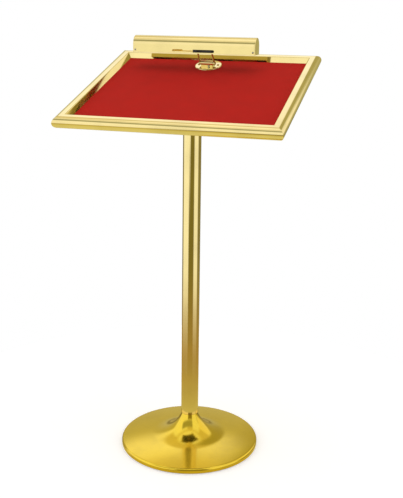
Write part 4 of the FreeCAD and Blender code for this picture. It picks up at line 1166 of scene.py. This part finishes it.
# Each layer covers the ones before it: azimuth from the front towards the right and elevation,
# both in degrees from and to, then softness, colour and strength.
STUDIO = [
    ("far wall, low", -181, 181, -91, -1, 4, "#958B59", 0.9),
    ("ceiling", -181, 181, 30, 91, 5, "#FFFCF4", 1.2),
    ("ceiling, dimmer", -181, 181, 42, 66, 5, "#F0E2B8", 0.95),
    ("wall behind, right", 157, 185, -6, 62, 4, "#BDB479", 0.95),
    ("window behind, right", 108, 155, 6, 44, 2, "#FFF6DC", 1.1),
    ("left screen", -104, -3, -60, 60, 6, "#FFFDF6", 1.15),
    ("right screen", 48, 104, -60, 60, 8, "#FFFDF6", 1.1),
    ("front, high", -52, 48, 31, 53, 5, "#CFCEAE", 0.72),
    ("front, middle", -2, 48, 0, 27, 3, "#A59A62", 0.8),
    ("front, low", -19, 44, -33, -11, 4, "#8D823F", 0.85),
    ("doorway", 1, 44, -33, -3, 4, "#8D823F", 0.85),
    ("front sill", -60, -3, -8, 2, 2.5, "#FFFDF0", 1.1),
    ("floor", -181, 181, -91, -20, 4, "#B99A55", 0.95),
    ("floor, nearer", -181, 181, -91, -25, 2.5, "#D8CB7C", 1.0),
    ("floor, near", -181, 181, -91, -42, 6, "#DFD69A", 1.1),
]


def studio_world():
    """Plain soft room: white to look at, with pale screens that the brass mirrors."""
    world = bpy.data.worlds.new("Studio")
    world.use_nodes = True
    tree = world.node_tree
    tree.nodes.clear()
    way = add(tree, "ShaderNodeTexCoord").outputs["Generated"]
    parts = add(tree, "ShaderNodeSeparateXYZ", {"Vector": way})
    front = add(tree, "ShaderNodeMath", {0: parts.outputs["Y"], 1: -1.0}, operation="MULTIPLY")
    azimuth = add(tree, "ShaderNodeMath", {0: parts.outputs["X"], 1: front.outputs[0]},
                  operation="ARCTAN2")
    azimuth = add(tree, "ShaderNodeMath", {0: azimuth.outputs[0]}, operation="DEGREES")
    # The same azimuth counted 0 to 360, for a layer that runs across the middle of the back.
    behind = add(tree, "ShaderNodeMath", {0: azimuth.outputs[0], 1: 360.0, 2: 0.0},
                 operation="WRAP")
    rise = add(tree, "ShaderNodeMath", {0: parts.outputs["Z"]}, operation="ARCSINE")
    rise = add(tree, "ShaderNodeMath", {0: rise.outputs[0]}, operation="DEGREES")
    painted = linear("#CDC696")
    for name, left, right, low, high, soft, code, strength in STUDIO:
        mask = 1.0
        around = azimuth if right < 182 else behind
        for value, start, end in ((around, left, right), (rise, low, high)):
            for limit, inside in ((start, 1), (end, 0)):
                step = add(tree, "ShaderNodeMapRange", {
                    "Value": value.outputs[0], "From Min": limit - soft, "From Max": limit + soft,
                    "To Min": 1 - inside, "To Max": inside}, interpolation_type="SMOOTHSTEP")
                mask = add(tree, "ShaderNodeMath", {0: mask, 1: step.outputs["Result"]},
                           operation="MULTIPLY").outputs[0]
        tint = [c * strength for c in linear(code)[:3]] + [1.0]
        layer = add(tree, "ShaderNodeMix", {"Factor": mask, "A": painted, "B": tint},
                    data_type="RGBA", label=name)
        painted = layer.outputs["Result"]
    room = add(tree, "ShaderNodeBackground", {"Color": painted, "Strength": 1.0})
    white = add(tree, "ShaderNodeBackground", {"Color": (1, 1, 1, 1), "Strength": 1.0})
    seen = add(tree, "ShaderNodeLightPath").outputs["Is Camera Ray"]
    both = add(tree, "ShaderNodeMixShader", {0: seen, 1: room.outputs[0], 2: white.outputs[0]})
    add(tree, "ShaderNodeOutputWorld", {"Surface": both.outputs[0]})
    bpy.context.scene.world = world


class BIBLESTAND_OT_stage(bpy.types.Operator):
    """Pale floor, soft room and camera"""

    bl_idname = "biblestand.stage"
    bl_label = "Stage"

    def execute(self, context):
        bm = bmesh.new()
        bmesh.ops.create_circle(bm, cap_ends=True, segments=128, radius=FLOOR_RADIUS,
                                matrix=Matrix.Translation((0, 0, -0.2 * MM)))
        mesh = bpy.data.meshes.new("studio_floor")
        bm.to_mesh(mesh)
        bm.free()
        floor = bpy.data.objects.new("studio_floor", mesh)
        context.scene.collection.objects.link(floor)
        board = plain_finish("White studio board", linear("#F8F8F7"), (0.7, 0.8), 3.0, 1e-6,
                             share=0.99)
        # The board glows a little, as it would in the glare of the lamps above it.
        shader = board.node_tree.nodes["Principled BSDF"]
        shader.inputs["Emission Color"].default_value = linear("#D6DEFF")
        shader.inputs["Emission Strength"].default_value = 0.4
        mesh.materials.append(board)
        # The brass mirrors the room's own floor, which is darker than the board.
        floor.visible_glossy = False
        studio_world()

        camera = bpy.data.cameras.new("Camera")
        camera.lens = CAMERA_LENS
        camera.sensor_width = 36
        holder = bpy.data.objects.new("Camera", camera)
        context.scene.collection.objects.link(holder)
        pitch, heading, roll = (
            math.radians(a) for a in (CAMERA_PITCH, CAMERA_HEADING, CAMERA_ROLL))
        right = Vector((math.cos(heading), math.sin(heading), 0))
        back = Vector((math.sin(heading) * math.cos(pitch), -math.cos(heading) * math.cos(pitch),
                       math.sin(pitch)))
        up = back.cross(right)
        side = right * math.cos(roll) + up * math.sin(roll)
        top = up * math.cos(roll) - right * math.sin(roll)
        turn = Matrix((side, top, back)).transposed().to_4x4()
        holder.matrix_world = Matrix.Translation(CAMERA_PLACE) @ turn
        bpy.context.scene.camera = holder
        bpy.context.scene.view_settings.view_transform = "Standard"
        return {"FINISHED"}


class BIBLESTAND_PT_panel(bpy.types.Panel):
    """Lists the stand's pieces and sizes"""

    bl_idname = "BIBLESTAND_PT_panel"
    bl_label = "Bible Stand"
    bl_space_type = "VIEW_3D"
    bl_region_type = "UI"
    bl_category = "Bible Stand"

    def draw(self, context):
        for operator in OPERATORS:
            self.layout.operator(operator.bl_idname)
        for group in settings():
            box = self.layout.box()
            for key in group.bl_rna.properties.keys():
                if key not in ("rna_type", "name"):
                    box.prop(group, key)


OPERATORS = (BIBLESTAND_OT_foot, BIBLESTAND_OT_pole, BIBLESTAND_OT_tilt_head,
             BIBLESTAND_OT_frame, BIBLESTAND_OT_lining, BIBLESTAND_OT_screws,
             BIBLESTAND_OT_lamp_mount, BIBLESTAND_OT_shade, BIBLESTAND_OT_bulbs,
             BIBLESTAND_OT_stage)
GROUPS = {"stand_foot": FootSizes, "stand_tray": TraySizes, "stand_lamp": LampSizes,
          "stand_colours": StandColours}


def register():
    """Adds the classes and the scene's settings."""
    for group in GROUPS.values():
        bpy.utils.register_class(group)
    for operator in (*OPERATORS, BIBLESTAND_PT_panel):
        bpy.utils.register_class(operator)
    for key, group in GROUPS.items():
        setattr(bpy.types.Scene, key, PointerProperty(type=group))


def unregister():
    """Takes them away again."""
    for key in GROUPS:
        delattr(bpy.types.Scene, key)
    for item in (BIBLESTAND_PT_panel, *reversed(OPERATORS), *GROUPS.values()):
        bpy.utils.unregister_class(item)


def main():
    """Builds every piece and the stage."""
    register()
    for operator in OPERATORS:
        group, name = operator.bl_idname.split(".")
        getattr(getattr(bpy.ops, group), name)()


if __name__ == "__main__":
    main()
